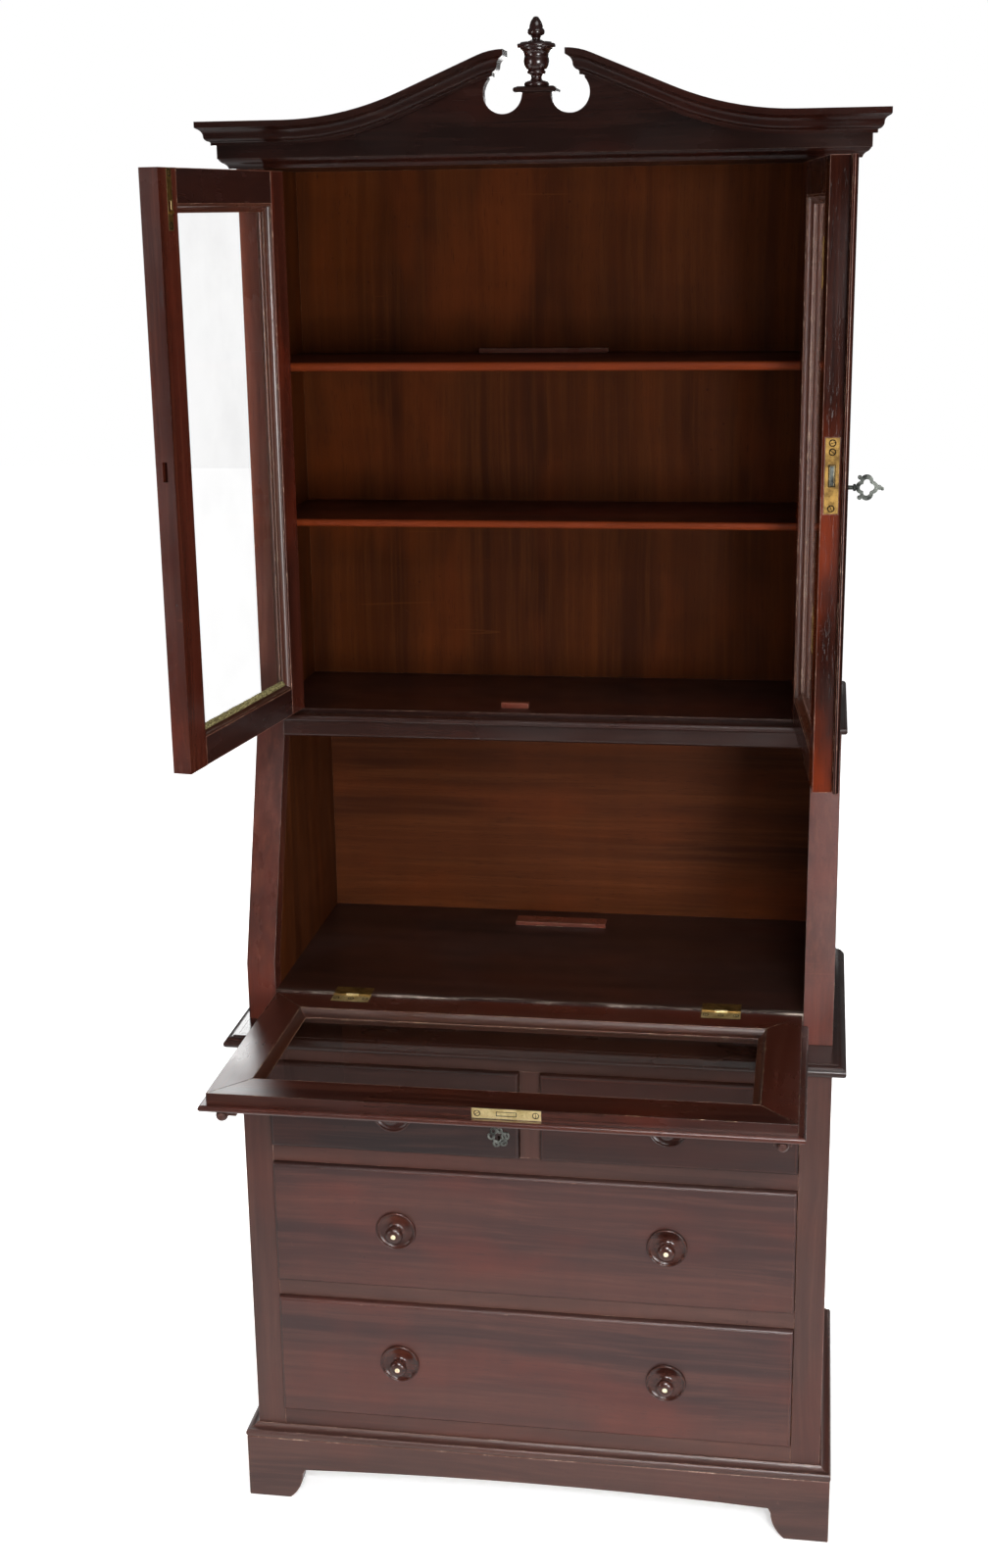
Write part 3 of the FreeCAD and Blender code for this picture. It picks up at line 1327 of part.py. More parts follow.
def bolt_plate(door):
    """The flush bolt's plate, slotted for its thumb piece."""
    u = door_width() - s.bolt_plate_inset
    back = pin_forward + s.door_thickness
    plate = boards("Plate", door.span(u - s.bolt_plate_width / 2, u + s.bolt_plate_width / 2),
                   (back - s.lock_plate_thickness, back),
                   (door_ceiling - s.bolt_plate_length, door_ceiling))
    slot = boards("Slot", door.span(u - s.thumb_piece_radius - s.bolt_gap,
                                    u + s.thumb_piece_radius + s.bolt_gap),
                  (back - s.bolt_setback, back + s.overrun), bolt_slot_span())
    return cut("BoltPlate", plate, [slot])


def build_flush_bolt(door):
    u = door_width() - s.bolt_plate_inset
    back = pin_forward + s.door_thickness
    foot = door_ceiling - s.bolt_plate_length + s.bolt_foot_gap
    bolt = rod("BoltRod", s.bolt_radius, (door.point(u), back - s.bolt_setback, foot), "z",
               s.bolt_plate_length - s.bolt_foot_gap)
    knob = rod("BoltKnob", s.thumb_piece_radius,
               (door.point(u), back - s.bolt_setback, bolt_slot_span()[0] + s.thumb_piece_radius
                + s.bolt_gap), "y", s.bolt_setback + s.thumb_piece_reach)
    door.node("bolt", [fuse("FlushBolt", [bolt, knob])])


def door_lock_block(door, name):
    """The space that the right door's lock fills: a plate on the meeting edge and a case behind it."""
    middle = door_floor + s.door_lock_level
    depth = pin_forward + s.door_thickness / 2
    free = door_width()
    plate = boards(name + "Plate", door.span(free - s.lock_plate_thickness, free),
                   (depth - s.door_lock_plate_width / 2, depth + s.door_lock_plate_width / 2),
                   (middle - s.door_lock_length / 2, middle + s.door_lock_length / 2))
    case = boards(name + "Case", door.span(free - s.door_lock_depth, free),
                  (depth - s.door_lock_case_thickness / 2, depth + s.door_lock_case_thickness / 2),
                  (middle - s.lock_case_width / 2, middle + s.lock_case_width / 2))
    return fuse(name, [plate, case])


def door_key_space(door):
    """The hole for the key's shank, from the outer face into the lock's case."""
    return rod("KeySpace", s.key_radius + s.key_gap,
               (door.point(door_width() - s.door_key_inset), pin_forward - s.overrun,
                door_floor + s.door_key_level), "y", s.door_thickness / 2 + s.overrun)


def lock_bolt_levels(gap):
    low = door_floor + s.door_lock_level - s.door_lock_bolt_length / 2
    return (low - gap, low + s.door_lock_bolt_length + gap)


def door_lock(door):
    """The lock's plate and case, hollow for its bolt and key."""
    free = door_width()
    inner = free - s.door_lock_bolt_depth - s.bolt_gap
    space = boards("BoltSpace", door.span(inner, free + s.overrun), lock_bolt_depth(s.bolt_gap),
                   lock_bolt_levels(s.bolt_gap))
    return cut("DoorLock", door_lock_block(door, "DoorLockBlock"), [space, door_key_space(door)])


def build_lock_bolt(door):
    free = door_width()
    door.node("lock_bolt", [boards("LockBolt", door.span(free - s.door_lock_bolt_depth, free),
                                   lock_bolt_depth(0), lock_bolt_levels(0))])


def build_astragal(door):
    """The cover bead on the outer face, which laps over the other door when both are shut."""
    free = door_width()
    near = free + s.astragal_overlap - s.astragal_width
    section = shares_of(ASTRAGAL_SHARES, s.astragal_width, s.astragal_thickness, pin_forward)
    outline = [(door.point(near + u), *rest) for u, *rest in section]
    door.node("astragal", [shaped("Astragal", "XY_Plane", outline, door_floor,
                                  door_ceiling - door_floor)])


# The key's bow: its discs and the eyes cut in it, as (outwards, up, radius) shares of half its height.
BOW_LOBES_SHARES = [(0, 0.5, 0.5), (0, -0.5, 0.5), (0.4, 0, 0.5), (-0.36, 0, 0.5), (-0.54, 0.78, 0.17),
                    (-0.54, -0.78, 0.17), (0.98, 0, 0.19), (1.2, -0.1, 0.14)]
BOW_EYES_SHARES = [(0.03, 0, 0.42), (0, 0.38, 0.26), (0, -0.38, 0.26), (0.34, 0, 0.26), (-0.28, 0, 0.26)]


def build_door_key(door):
    """A key that stands out of the outer face: shank, collar and an openwork bow."""
    u = door.point(door_width() - s.door_key_inset)
    level = door_floor + s.door_key_level
    front = pin_forward
    tip = (s.door_thickness - s.door_lock_bolt_thickness) / 2 - s.key_tip_gap
    reach = s.door_key_shank + s.key_radius
    collar_share = 1.7
    shank = rod("Shank", s.key_radius, (u, front - reach, level), "y", reach + tip)
    collar = rod("Collar", s.key_radius * collar_share, (u, front - s.door_key_shank, level), "y",
                 s.key_radius)
    middle = front - s.door_key_shank - s.door_key_bow_width / 2
    half = s.door_key_bow_height / 2
    start = u - s.door_key_bow_thickness / 2

    def discs(name, shares):
        return [rod(name, half * share[2], (start, middle - half * share[0], level + half * share[1]), "x",
                    s.door_key_bow_thickness) for share in shares]

    bow = cut("KeyBowPierced", fuse("KeyBow", discs("BowLobe", BOW_LOBES_SHARES)),
              discs("BowEye", BOW_EYES_SHARES))
    door.node("key", [fuse("Key", [shank, collar, bow])])


# Pediment: bed moulding, frieze, swan necks, centre block with cap, and the finial.

def neck_path(drop=0):
    """The swan neck's line from its foot to its tip, as points right of the middle, lowered by a drop."""
    angle = s.neck_angle
    level = cornice_top - drop
    half_angle = angle / 2
    foot = bookcase_half - s.neck_flat
    hollow = s.hollow_radius
    crest = s.crest_radius
    rise_start = (foot - hollow * sine(angle), level + hollow * (1 - cosine(angle)))
    rise_run = rise_start[0] - s.neck_tip - crest * sine(angle)
    rise_end = (s.neck_tip + crest * sine(angle),
                rise_start[1] + rise_run * sine(angle) / cosine(angle))
    tip_level = rise_end[1] + crest * (1 - cosine(angle))
    return [(foot, level),
            (foot - hollow * sine(half_angle), level + hollow * (1 - cosine(half_angle)), BEND),
            rise_start, rise_end,
            (s.neck_tip + crest * sine(half_angle), tip_level - crest * (1 - cosine(half_angle)), BEND),
            (s.neck_tip, tip_level)]


def build_pediment_case():
    inner = bookcase_half - s.frieze_thickness
    bed = shares_of(BED_SHARES, s.bed_projection, s.bed_height, bookcase_ceiling)
    node("bed_moulding", [moulding("BedMoulding", bookcase_half, bed_line, pediment_back, bed)])
    drop = cornice_top - s.dust_cover_drop
    pieces = [boards("FriezeSide", across(side, inner, bookcase_half), (pediment_back, bookcase_back),
                     (bookcase_top, cornice_top)) for side in SIDES]
    pieces.append(boards("DustCover", (-inner, inner), (pediment_back, bookcase_back),
                         (drop - s.dust_board_thickness, drop)))
    node("pediment_case", pieces)


BED_SHARES = [(0, 0), (0.3, 0), (0.4, 0.28, BEND), (0.66, 0.56), (0.8, 0.66), (0.93, 0.84), (1, 1), (0, 1)]


# Where the neck ends against the block's round opening, and what hangs from the neck's tip.
scroll_lean_share = 0.735
neck_end = keep("neck_end", s.neck_tip + s.cornice_projection - s.frieze_projection)
scroll_centre = keep("scroll_centre", neck_end - s.scroll_radius * scroll_lean_share)
scroll_level = keep("scroll_level", neck_path()[-1][1] - s.scroll_drop)
block_half = keep("block_half", scroll_centre - s.scroll_radius)


def crest_point(path, x):
    """The point of the swan neck's crest at a distance from the middle."""
    crest = s.crest_radius
    run = x - s.neck_tip
    return (x, path[-1][1] - crest + root(crest * crest - run * run))


def build_pediment_board():
    """The board behind the swan necks, with a round opening each side of its centre block."""
    outer = bookcase_half + s.frieze_projection
    centre = scroll_centre
    radius = s.scroll_radius
    level = scroll_level
    end = neck_end
    path = neck_path()
    rise_end = path[3]
    lean = end - centre
    right = [(outer, bookcase_top), (outer, cornice_top)] + path[:4]
    right += [crest_point(path, (rise_end[0] + end) / 2) + (BEND,), crest_point(path, end),
              (end, level + root(radius * radius - lean * lean)), (centre, level - radius, BEND),
              (centre - radius, level)]
    left = [(-point[0], *point[1:]) for point in right[::-1]]
    node("pediment_board", [shaped("PedimentBoard", "XZ_Plane", right + left, pediment_face,
                                   s.frieze_thickness)])


# The cornice's profile, counted out from the frieze's face and up from the frieze's top.
CORNICE_SHARES = [(0, 0), (0.263, 0), (0.263, 0.12), (0.32, 0.165), (0.515, 0.235, BEND), (0.6, 0.41),
                  (0.71, 0.6, BEND), (0.9, 0.7), (0.968, 0.735), (1, 0.745), (1, 1), (0, 1)]


def read(size):
    """A size's number, as the sheet works it out."""
    return float(sheet.evalExpression(as_size(size).words))


def wire(points):
    """Straight and curved edges through points in space, with BEND marks as in a sketch."""
    edges = []
    corners = [i for i, point in enumerate(points) if len(point) == 3]
    for start, end in zip(corners, corners[1:]):
        a, b = FreeCAD.Vector(*points[start]), FreeCAD.Vector(*points[end])
        if end - start == 2:
            edges.append(Part.Arc(a, FreeCAD.Vector(*points[start + 1][:3]), b).toShape())
        else:
            edges.append(Part.makeLine(a, b))
    return Part.Wire(edges)


def prism(plan, low, high):
    """An upright block over a plan outline."""
    corners = [FreeCAD.Vector(x, y, low) for x, y in plan]
    return Part.Face(Part.makePolygon(corners + corners[:1])).extrude(FreeCAD.Vector(0, 0, high - low))


def build_cornice():
    """Each swan neck keeps its profile upright along its line, and both ends are mitred to returns."""
    deep = read(s.cornice_projection - s.frieze_projection)
    tall = read(s.cornice_height)
    back = read(pediment_face)
    front = back - deep
    outer = read(bookcase_half + s.cornice_projection)
    board_back = read(pediment_back)
    tip = read(s.neck_tip)
    foot = read(cornice_top) - tall
    line = [(read(x), read(z), *bend) for x, z, *bend in neck_path()]
    roof = line[-1][1] + tall
    start = outer + deep
    spine = wire([(start, front, line[0][1])] + [(x, front, z, *bend) for x, z, *bend in line])
    profile = [(share[0] * deep, share[1] * tall, *share[2:]) for share in CORNICE_SHARES]
    closed = profile + profile[:1]
    section = wire([(start, back - out, foot + up, *bend) for out, up, *bend in closed])
    sweep = Part.BRepOffsetAPI.MakePipeShell(spine)
    sweep.setTrihedronMode(FreeCAD.Vector(start, front, line[0][1]), FreeCAD.Vector(1, 0, 0))
    sweep.add(section)
    sweep.build()
    sweep.makeSolid()
    neck = sweep.shape().common(prism([(tip, front), (outer, front), (outer - deep, back),
                                       (tip + deep, back)], foot - tall, roof))
    mitre = [one for one in neck.Faces
             if all(abs((p.X - tip) - (p.Y - front)) < 1e-4 for p in one.Vertexes)][0]
    reach = board_back - front
    scroll = mitre.extrude(FreeCAD.Vector(0, reach, 0)).common(
        prism([(tip, front), (tip + deep, back), (tip + deep, board_back), (tip, board_back)],
              foot - tall, roof))
    side_section = wire([(outer - deep + out, front, foot + up, *bend) for out, up, *bend in closed])
    side = Part.Face(side_section).extrude(FreeCAD.Vector(0, reach, 0)).common(
        prism([(outer, front), (outer - deep, back), (outer - deep, board_back), (outer, board_back)],
              foot - tall, roof))
    pieces = []
    for solid in (neck, scroll, side):
        for shape in (solid, solid.mirror(FreeCAD.Vector(), FreeCAD.Vector(1, 0, 0))):
            feature = doc.addObject("Part::Feature", "CornicePiece")
            feature.Shape = shape.Solids[0]
            pieces.append(feature)
    node("cornice", pieces)


FINIAL_SHARES = [(0, 0), (0.6, 0), (0.645, 0.03, BEND), (0.55, 0.07), (0.46, 0.08), (0.27, 0.138, BEND),
                 (0.34, 0.172), (0.475, 0.205, BEND), (0.42, 0.236), (0.5, 0.246), (0.645, 0.33, BEND),
                 (0.62, 0.43), (0.67, 0.49, BEND), (0.83, 0.53), (0.84, 0.545), (0.93, 0.548),
                 (1, 0.58, BEND), (0.84, 0.616), (0.78, 0.635), (0.45, 0.648, BEND), (0.21, 0.675),
                 (0.235, 0.705, BEND), (0.36, 0.73), (0.445, 0.785, BEND), (0.39, 0.822), (0.365, 0.826),
                 (0.31, 0.9, BEND), (0.17, 0.97), (0.11, 0.993, BEND), (0.03, 1), (0, 1)]
CAP_NOSE_SHARES = [(0, 0), (0.5, 0), (1, 0.5, BEND), (0.5, 0.88), (0.3, 0.88), (0.3, 1), (0, 1)]


def build_finial():
    half = block_half + s.cap_overhang - s.cap_nose
    front = pediment_face - s.cap_lap
    back = front + s.cap_depth
    top = scroll_level + s.cap_thickness
    nose = shares_of(CAP_NOSE_SHARES, s.cap_nose, s.cap_thickness, scroll_level)
    node("pediment_cap", [boards("Cap", (-half, half), (front + s.cap_nose, back), (scroll_level, top)),
                          moulding("CapNose", half, front + s.cap_nose, back, nose)])
    node("finial", [turned("Finial", shares_of(FINIAL_SHARES, s.finial_radius, s.finial_height),
                           (0, pediment_face + s.finial_setback, top), "z")])


def build_all():
    build_plinth()
    build_chest()
    build_waist()
    build_bureau()
    build_mid_moulding()
    build_lopers()
    build_fall()
    fall_fixed, fall_moving = fall_butts()
    build_fall_brass(fall_moving)
    build_drawers()
    build_drawer_lock()
    build_bookcase()
    build_case_brass(fall_fixed)
    left = Door(-1, "left", s.left_door_angle)
    right = Door(1, "right", s.right_door_angle)
    for door in (left, right):
        build_door(door)
    build_flush_bolt(left)
    build_lock_bolt(right)
    build_astragal(right)
    build_door_key(right)
    build_pediment_case()
    build_pediment_board()
    doc.recompute()
    build_cornice()
    build_finial()


def check_and_write():
    doc.recompute()
    faults = [f"{item.Name} {item.State}" for item in doc.Objects
              if "Invalid" in item.State or "Error" in item.State]
    faults += [item.Label + " has no valid solid" for item in nodes
               if item.Shape.isNull() or not item.Shape.isValid() or not item.Shape.Solids]
    if faults:
        raise ValueError("; ".join(faults))
    os.makedirs("parts", exist_ok=True)
    for item in nodes:
        item.Shape.exportStep(f"parts/{item.Label}.step")
    print(len(nodes), "nodes,", sum(len(item.Shape.Solids) for item in nodes), "solids")


build_all()
check_and_write()
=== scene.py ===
import json
import math
import random

import bmesh
import bpy
from mathutils import Matrix, Vector


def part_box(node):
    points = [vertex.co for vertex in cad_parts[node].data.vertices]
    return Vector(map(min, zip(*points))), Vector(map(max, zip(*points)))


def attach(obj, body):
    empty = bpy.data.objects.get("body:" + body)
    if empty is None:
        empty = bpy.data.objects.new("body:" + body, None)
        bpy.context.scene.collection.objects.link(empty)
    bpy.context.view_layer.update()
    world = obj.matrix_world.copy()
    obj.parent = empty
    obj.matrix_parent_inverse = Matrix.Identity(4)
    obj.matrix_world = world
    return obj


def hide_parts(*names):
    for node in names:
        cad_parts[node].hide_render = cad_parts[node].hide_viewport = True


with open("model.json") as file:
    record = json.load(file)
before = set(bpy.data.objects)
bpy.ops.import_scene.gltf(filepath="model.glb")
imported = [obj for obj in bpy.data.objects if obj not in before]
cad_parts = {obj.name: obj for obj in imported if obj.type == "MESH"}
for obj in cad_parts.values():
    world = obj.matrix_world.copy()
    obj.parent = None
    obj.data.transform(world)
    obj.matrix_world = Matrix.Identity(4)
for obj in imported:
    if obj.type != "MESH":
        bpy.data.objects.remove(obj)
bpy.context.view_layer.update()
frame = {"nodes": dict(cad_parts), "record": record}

parts = frame["nodes"]
body_of_node = {node: body for body, nodes in frame["record"]["behaviour"]["bodies"].items()
                for node in nodes}


# The view: a camera a little right of the middle, above eye level and looking slightly down,
# on a seamless white sweep that goes on past the edges of the picture.

CAMERA_PLACE = (0.3634, -2.5665, 1.7914)
CAMERA_YAW = 0.161
CAMERA_PITCH = 0.274
CAMERA_ROLL = -0.015
CAMERA_LENS_MM = 46.757
CAMERA_SENSOR_MM = 36.0


def new_object(name, data):
    """An object that is linked into the scene."""
    made = bpy.data.objects.new(name, data)
    bpy.context.scene.collection.objects.link(made)
    return made


ahead = Vector((-math.sin(CAMERA_YAW) * math.cos(CAMERA_PITCH),
                math.cos(CAMERA_YAW) * math.cos(CAMERA_PITCH), -math.sin(CAMERA_PITCH)))
level_right = Vector((math.cos(CAMERA_YAW), math.sin(CAMERA_YAW), 0.0))
level_up = level_right.cross(ahead)
right = math.cos(CAMERA_ROLL) * level_right + math.sin(CAMERA_ROLL) * level_up
up = math.cos(CAMERA_ROLL) * level_up - math.sin(CAMERA_ROLL) * level_right
facing = Matrix((right, up, -ahead)).transposed().to_4x4()
camera = new_object("camera", bpy.data.cameras.new("camera"))
camera.data.lens = CAMERA_LENS_MM
camera.data.sensor_width = CAMERA_SENSOR_MM
camera.matrix_world = Matrix.Translation(CAMERA_PLACE) @ facing
bpy.context.scene.camera = camera
bpy.context.scene.view_settings.view_transform = "Standard"


def add(tree, kind, inputs=(), **settings):
    """A node in a tree. Inputs is {socket: value or another node's socket}."""
    made = tree.nodes.new(kind)
    for name, value in settings.items():
        setattr(made, name, value)
    for name, value in dict(inputs).items():
        if isinstance(value, bpy.types.NodeSocket):
            tree.links.new(value, made.inputs[name])
        else:
            made.inputs[name].default_value = value
    return made


def object_place(tree):
    return add(tree, "ShaderNodeTexCoord").outputs["Object"]


def math_node(tree, operation, a, b):
    return add(tree, "ShaderNodeMath", {0: a, 1: b}, operation=operation).outputs[0]


def vector_math(tree, operation, a, b=(0, 0, 0)):
    """The result of a vector operation: a vector or, for a length, a number."""
    made = add(tree, "ShaderNodeVectorMath", {0: a, 1: b}, operation=operation)
    return made.outputs["Value" if operation == "LENGTH" else "Vector"]


def ramp(tree, value, start, end, low=0.0, high=1.0, smooth=True):
    """Low at start and high at end, held level beyond them."""
    return add(tree, "ShaderNodeMapRange", {0: value, 1: start, 2: end, 3: low, 4: high},
               interpolation_type="SMOOTHSTEP" if smooth else "LINEAR").outputs[0]


def by_ray(tree, kinds, seen, otherwise):
    """One shader for the kinds of ray that are named, and another for the rest."""
    path = add(tree, "ShaderNodeLightPath")
    share = path.outputs[kinds[0]]
    for kind in kinds[1:]:
        share = math_node(tree, "MAXIMUM", share, path.outputs[kind])
    return add(tree, "ShaderNodeMixShader", {0: share, 1: otherwise, 2: seen}).outputs[0]


DIRECT_RAYS = ("Is Camera Ray", "Is Transmission Ray")
WHITE = (1.0, 1.0, 1.0, 1.0)
ROOM_GLOW = 0.1
world = bpy.data.worlds.new("white studio")
world.use_nodes = True
bpy.context.scene.world = world
tree = world.node_tree
tree.nodes.clear()
glow = add(tree, "ShaderNodeBackground", {"Color": WHITE, "Strength": ROOM_GLOW})
white = add(tree, "ShaderNodeBackground", {"Color": WHITE, "Strength": 1.0})
add(tree, "ShaderNodeOutputWorld",
    {"Surface": by_ray(tree, DIRECT_RAYS, white.outputs[0], glow.outputs[0])})


def new_finish(name):
    """An empty material and its node tree."""
    made = bpy.data.materials.new(name)
    made.use_nodes = True
    made.node_tree.nodes.clear()
    return made, made.node_tree


# The sweep's paper is lifted to white where it is seen straight on, and less so close to the plinth,
# where the shadow shows. To mirrored rays it only glows: a painted reflection of a pale floor that fades
# with distance.
SWEEP_HALF = 12.0
FOOTPRINT_MIDDLE = (0.0, 0.14, 0.0)
FOOTPRINT_HALF = (0.415, 0.2235, 0.0)
PAPER_COLOR = (0.8, 0.8, 0.8, 1.0)
SHADOW_REACH = 0.16
SHADOW_LIFT = 0.5
MIRRORED_NEAR, MIRRORED_FAR = 0.7, 1.9
MIRRORED_BRIGHT, MIRRORED_DARK = 0.95, 0.08
sweep_mesh = bpy.data.meshes.new("floor")
sweep_mesh.from_pydata([(-SWEEP_HALF, -SWEEP_HALF, 0), (SWEEP_HALF, -SWEEP_HALF, 0),
                        (SWEEP_HALF, SWEEP_HALF, 0), (-SWEEP_HALF, SWEEP_HALF, 0)], [], [(0, 1, 2, 3)])
sweep = new_object("floor", sweep_mesh)
paper, tree = new_finish("white paper")
matte = add(tree, "ShaderNodeBsdfDiffuse", {"Color": PAPER_COLOR}).outputs[0]
from_middle = vector_math(tree, "SUBTRACT", object_place(tree), FOOTPRINT_MIDDLE)
past_edge = vector_math(tree, "SUBTRACT", vector_math(tree, "ABSOLUTE", from_middle), FOOTPRINT_HALF)
away = vector_math(tree, "LENGTH", vector_math(tree, "MAXIMUM", past_edge))
brighter = ramp(tree, away, 0.0, SHADOW_REACH, SHADOW_LIFT, 1.0, smooth=False)
lift = add(tree, "ShaderNodeEmission", {"Color": WHITE, "Strength": brighter})
lifted = add(tree, "ShaderNodeAddShader", {0: matte, 1: lift.outputs[0]}).outputs[0]
darker = ramp(tree, away, MIRRORED_NEAR, MIRRORED_FAR, MIRRORED_BRIGHT, MIRRORED_DARK, smooth=False)
painted_floor_reflection = add(tree, "ShaderNodeEmission", {"Color": WHITE, "Strength": darker})
in_polish = by_ray(tree, ("Is Glossy Ray",), painted_floor_reflection.outputs[0], matte)
add(tree, "ShaderNodeOutputMaterial", {"Surface": by_ray(tree, DIRECT_RAYS, lifted, in_polish)})
sweep_mesh.materials.append(paper)


def soft_lamp(name, place, aim, size, watts, spread=180):
    """A softbox that isn't seen itself, nor through glass. Size is in metres and spread in degrees."""
    lamp = new_object(name, bpy.data.lights.new(name, "AREA"))
    lamp.data.shape = "RECTANGLE"
    lamp.data.size, lamp.data.size_y = size
    lamp.data.energy = watts
    lamp.data.spread = math.radians(spread)
    lamp.visible_camera = False
    lamp.visible_transmission = False
    lamp.location = place
    lamp.rotation_mode = "QUATERNION"
    lamp.rotation_quaternion = (Vector(aim) - Vector(place)).to_track_quat("-Z", "Y")


soft_lamp("right softbox", (2.35, -4.2, 0.95), aim=(0.0, 0.0, 0.9), size=(1.4, 1.5), watts=135)
soft_lamp("left softbox", (-2.4, -2.3, 1.3), aim=(-0.38, -0.25, 1.45), size=(0.5, 1.8), watts=3,
          spread=60)
soft_lamp("front softbox", (0.6, -3.4, 2.5), aim=(0.0, -0.05, 0.1), size=(1.5, 1.1), watts=7, spread=30)
soft_lamp("top softbox", (0.7, -1.2, 3.4), aim=(0.0, -0.2, 0.4), size=(1.4, 0.9), watts=12)
soft_lamp("back softbox", (-0.9, 4.0, 1.9), aim=(0.0, 0.3, 0.9), size=(2.2, 1.6), watts=70)


# Chest of drawers: mahogany boards glued and housed together, on a bracket plinth with a planted
# moulding, under a moulded top. Every board has grain along its length, and its eased arrises are
# worn paler by handling than the polished faces.

WELD_DISTANCE = 1e-6
FLAT_ANGLE = math.radians(0.6)
SHARP_ANGLE = math.radians(28)
EASE_SEGMENTS = 2
BOARD_EASE = 0.0007
GRAIN_SHIFT = 10.0
LARGE_FACES_FIRST = 100
SHUTTING_ANGLES = {"left_door": math.radians(98.5), "right_door": math.radians(-94.9)}
hinge_place = {row["child"]: Vector(row["pos_m"]) for row in frame["record"]["behaviour"]["joints"]
               if row["type"] == "hinge"}


def shut_turn(body):
    """Turns a door's places to where they are when it is shut, so that its boards are square."""
    for door, angle in SHUTTING_ANGLES.items():
        if body.startswith(door):
            pin = Matrix.Translation(hinge_place[door])
            return pin @ Matrix.Rotation(angle, 4, "Z") @ pin.inverted()
    return Matrix()


def solids_of(node):
    """The closed solids of a CAD node, each as (corners, triangles), in the order they were stored."""
    mesh = parts[node].data
    solids = []
    corners, index, faces, open_edges = [], {}, [], {}
    for polygon in mesh.polygons:
        face = []
        for vertex in polygon.vertices:
            place = mesh.vertices[vertex].co
            key = tuple(round(value / WELD_DISTANCE) for value in place)
            if key not in index:
                index[key] = len(corners)
                corners.append(place.copy())
            face.append(index[key])
        if len(set(face)) == 3:
            faces.append(face)
            for a, b in zip(face, face[1:] + face[:1]):
                if open_edges.get((b, a), 0) > 0:
                    open_edges[(b, a)] -= 1
                    if not open_edges[(b, a)]:
                        del open_edges[(b, a)]
                else:
                    open_edges[(a, b)] = open_edges.get((a, b), 0) + 1
        if faces and not open_edges:
            solids.append((corners, faces))
            corners, index, faces = [], {}, []
    if faces:
        solids.append((corners, faces))
    return solids


def run_of(place, low, high, run):
    """The axis that the grain follows at a face: 0, 1 or 2 for X, Y or Z.

    Low and high are the corners of the face's solid. Run is an axis, "longest" for the solid's longest
    one, "mitred" for a front that returns along both sides, "framed" for beads round a pane, or a
    function of the solid's size that gives one of these."""
    size = high - low
    if callable(run):
        run = run(size)
    if isinstance(run, int):
        return run
    if run == "mitred":
        return 1 if abs(place.x) + place.y > high.x + low.y + WELD_DISTANCE else 0
    order = sorted(range(3), key=lambda axis: -size[axis])
    if run == "framed":
        from_middle = place - (low + high) / 2
        room = [size[axis] / 2 - abs(from_middle[axis]) for axis in order[:2]]
        return order[1] if room[0] < room[1] else order[0]
    return order[0]


def dress(node, finish, arris, ease=BOARD_EASE, run="longest", apart=None):
    """Stands for a CAD node: its solids with eased arrises, and grain coordinates on every face corner.

    Apart is a test of a solid's size and the finish of those that pass it."""
    body = body_of_node[node]
    turn = shut_turn(body)
    draw = random.Random(node)
    places, faces, worn, grain = [], [], [], []
    for corners, triangles in solids_of(node):
        form = bmesh.new()
        made = [form.verts.new(corner) for corner in corners]
        for triangle in triangles:
            if not form.faces.get([made[i] for i in triangle]):
                form.faces.new([made[i] for i in triangle])
        bmesh.ops.dissolve_limit(form, angle_limit=FLAT_ANGLE, verts=form.verts, edges=form.edges)
        sharp = [edge for edge in form.edges
                 if edge.is_manifold and edge.calc_face_angle(0.0) > SHARP_ANGLE]
        bmesh.ops.bevel(form, geom=sharp, offset=ease, offset_type="OFFSET", segments=EASE_SEGMENTS,
                        profile=0.5, affect="EDGES", clamp_overlap=True, material=1)
        squared = [turn @ vertex.co for vertex in form.verts]
        low = Vector([min(place[axis] for place in squared) for axis in range(3)])
        high = Vector([max(place[axis] for place in squared) for axis in range(3)])
        shift = [draw.uniform(0.0, GRAIN_SHIFT) for axis in range(3)]
        form.verts.index_update()
        start = len(places)
        places += [vertex.co.copy() for vertex in form.verts]
        for face in form.faces:
            along = run_of(turn @ face.calc_center_median(), low, high, run)
            order = [along] + [axis for axis in range(3) if axis != along]
            faces.append([start + vertex.index for vertex in face.verts])
            other = apart and not face.material_index and apart[0](high - low)
            worn.append(2 if other else face.material_index)
            for vertex in face.verts:
                grain += [squared[vertex.index][axis] + shift[axis] for axis in order]
        form.free()
    mesh = bpy.data.meshes.new(node + "_dressed")
    mesh.from_pydata(places, [], faces)
    mesh.polygons.foreach_set("material_index", worn)
    mesh.polygons.foreach_set("use_smooth", [True] * len(faces))
    mesh.attributes.new("grain", "FLOAT_VECTOR", "CORNER").data.foreach_set("vector", grain)
    mesh.materials.append(finish)
    mesh.materials.append(arris)
    if apart:
        mesh.materials.append(apart[1])
    piece = new_object(node + "_dressed", mesh)
    even = piece.modifiers.new("even shading", "WEIGHTED_NORMAL")
    even.weight = LARGE_FACES_FIRST
    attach(piece, body)
    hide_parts(node)


def tone(red, green, blue):
    """A colour given as 0 to 255 in sRGB, as the linear values that a shader takes."""
    share = [value / 255 for value in (red, green, blue)]
    return tuple(value / 12.92 if value <= 0.04045 else ((value + 0.055) / 1.055) ** 2.4
                 for value in share) + (1.0,)


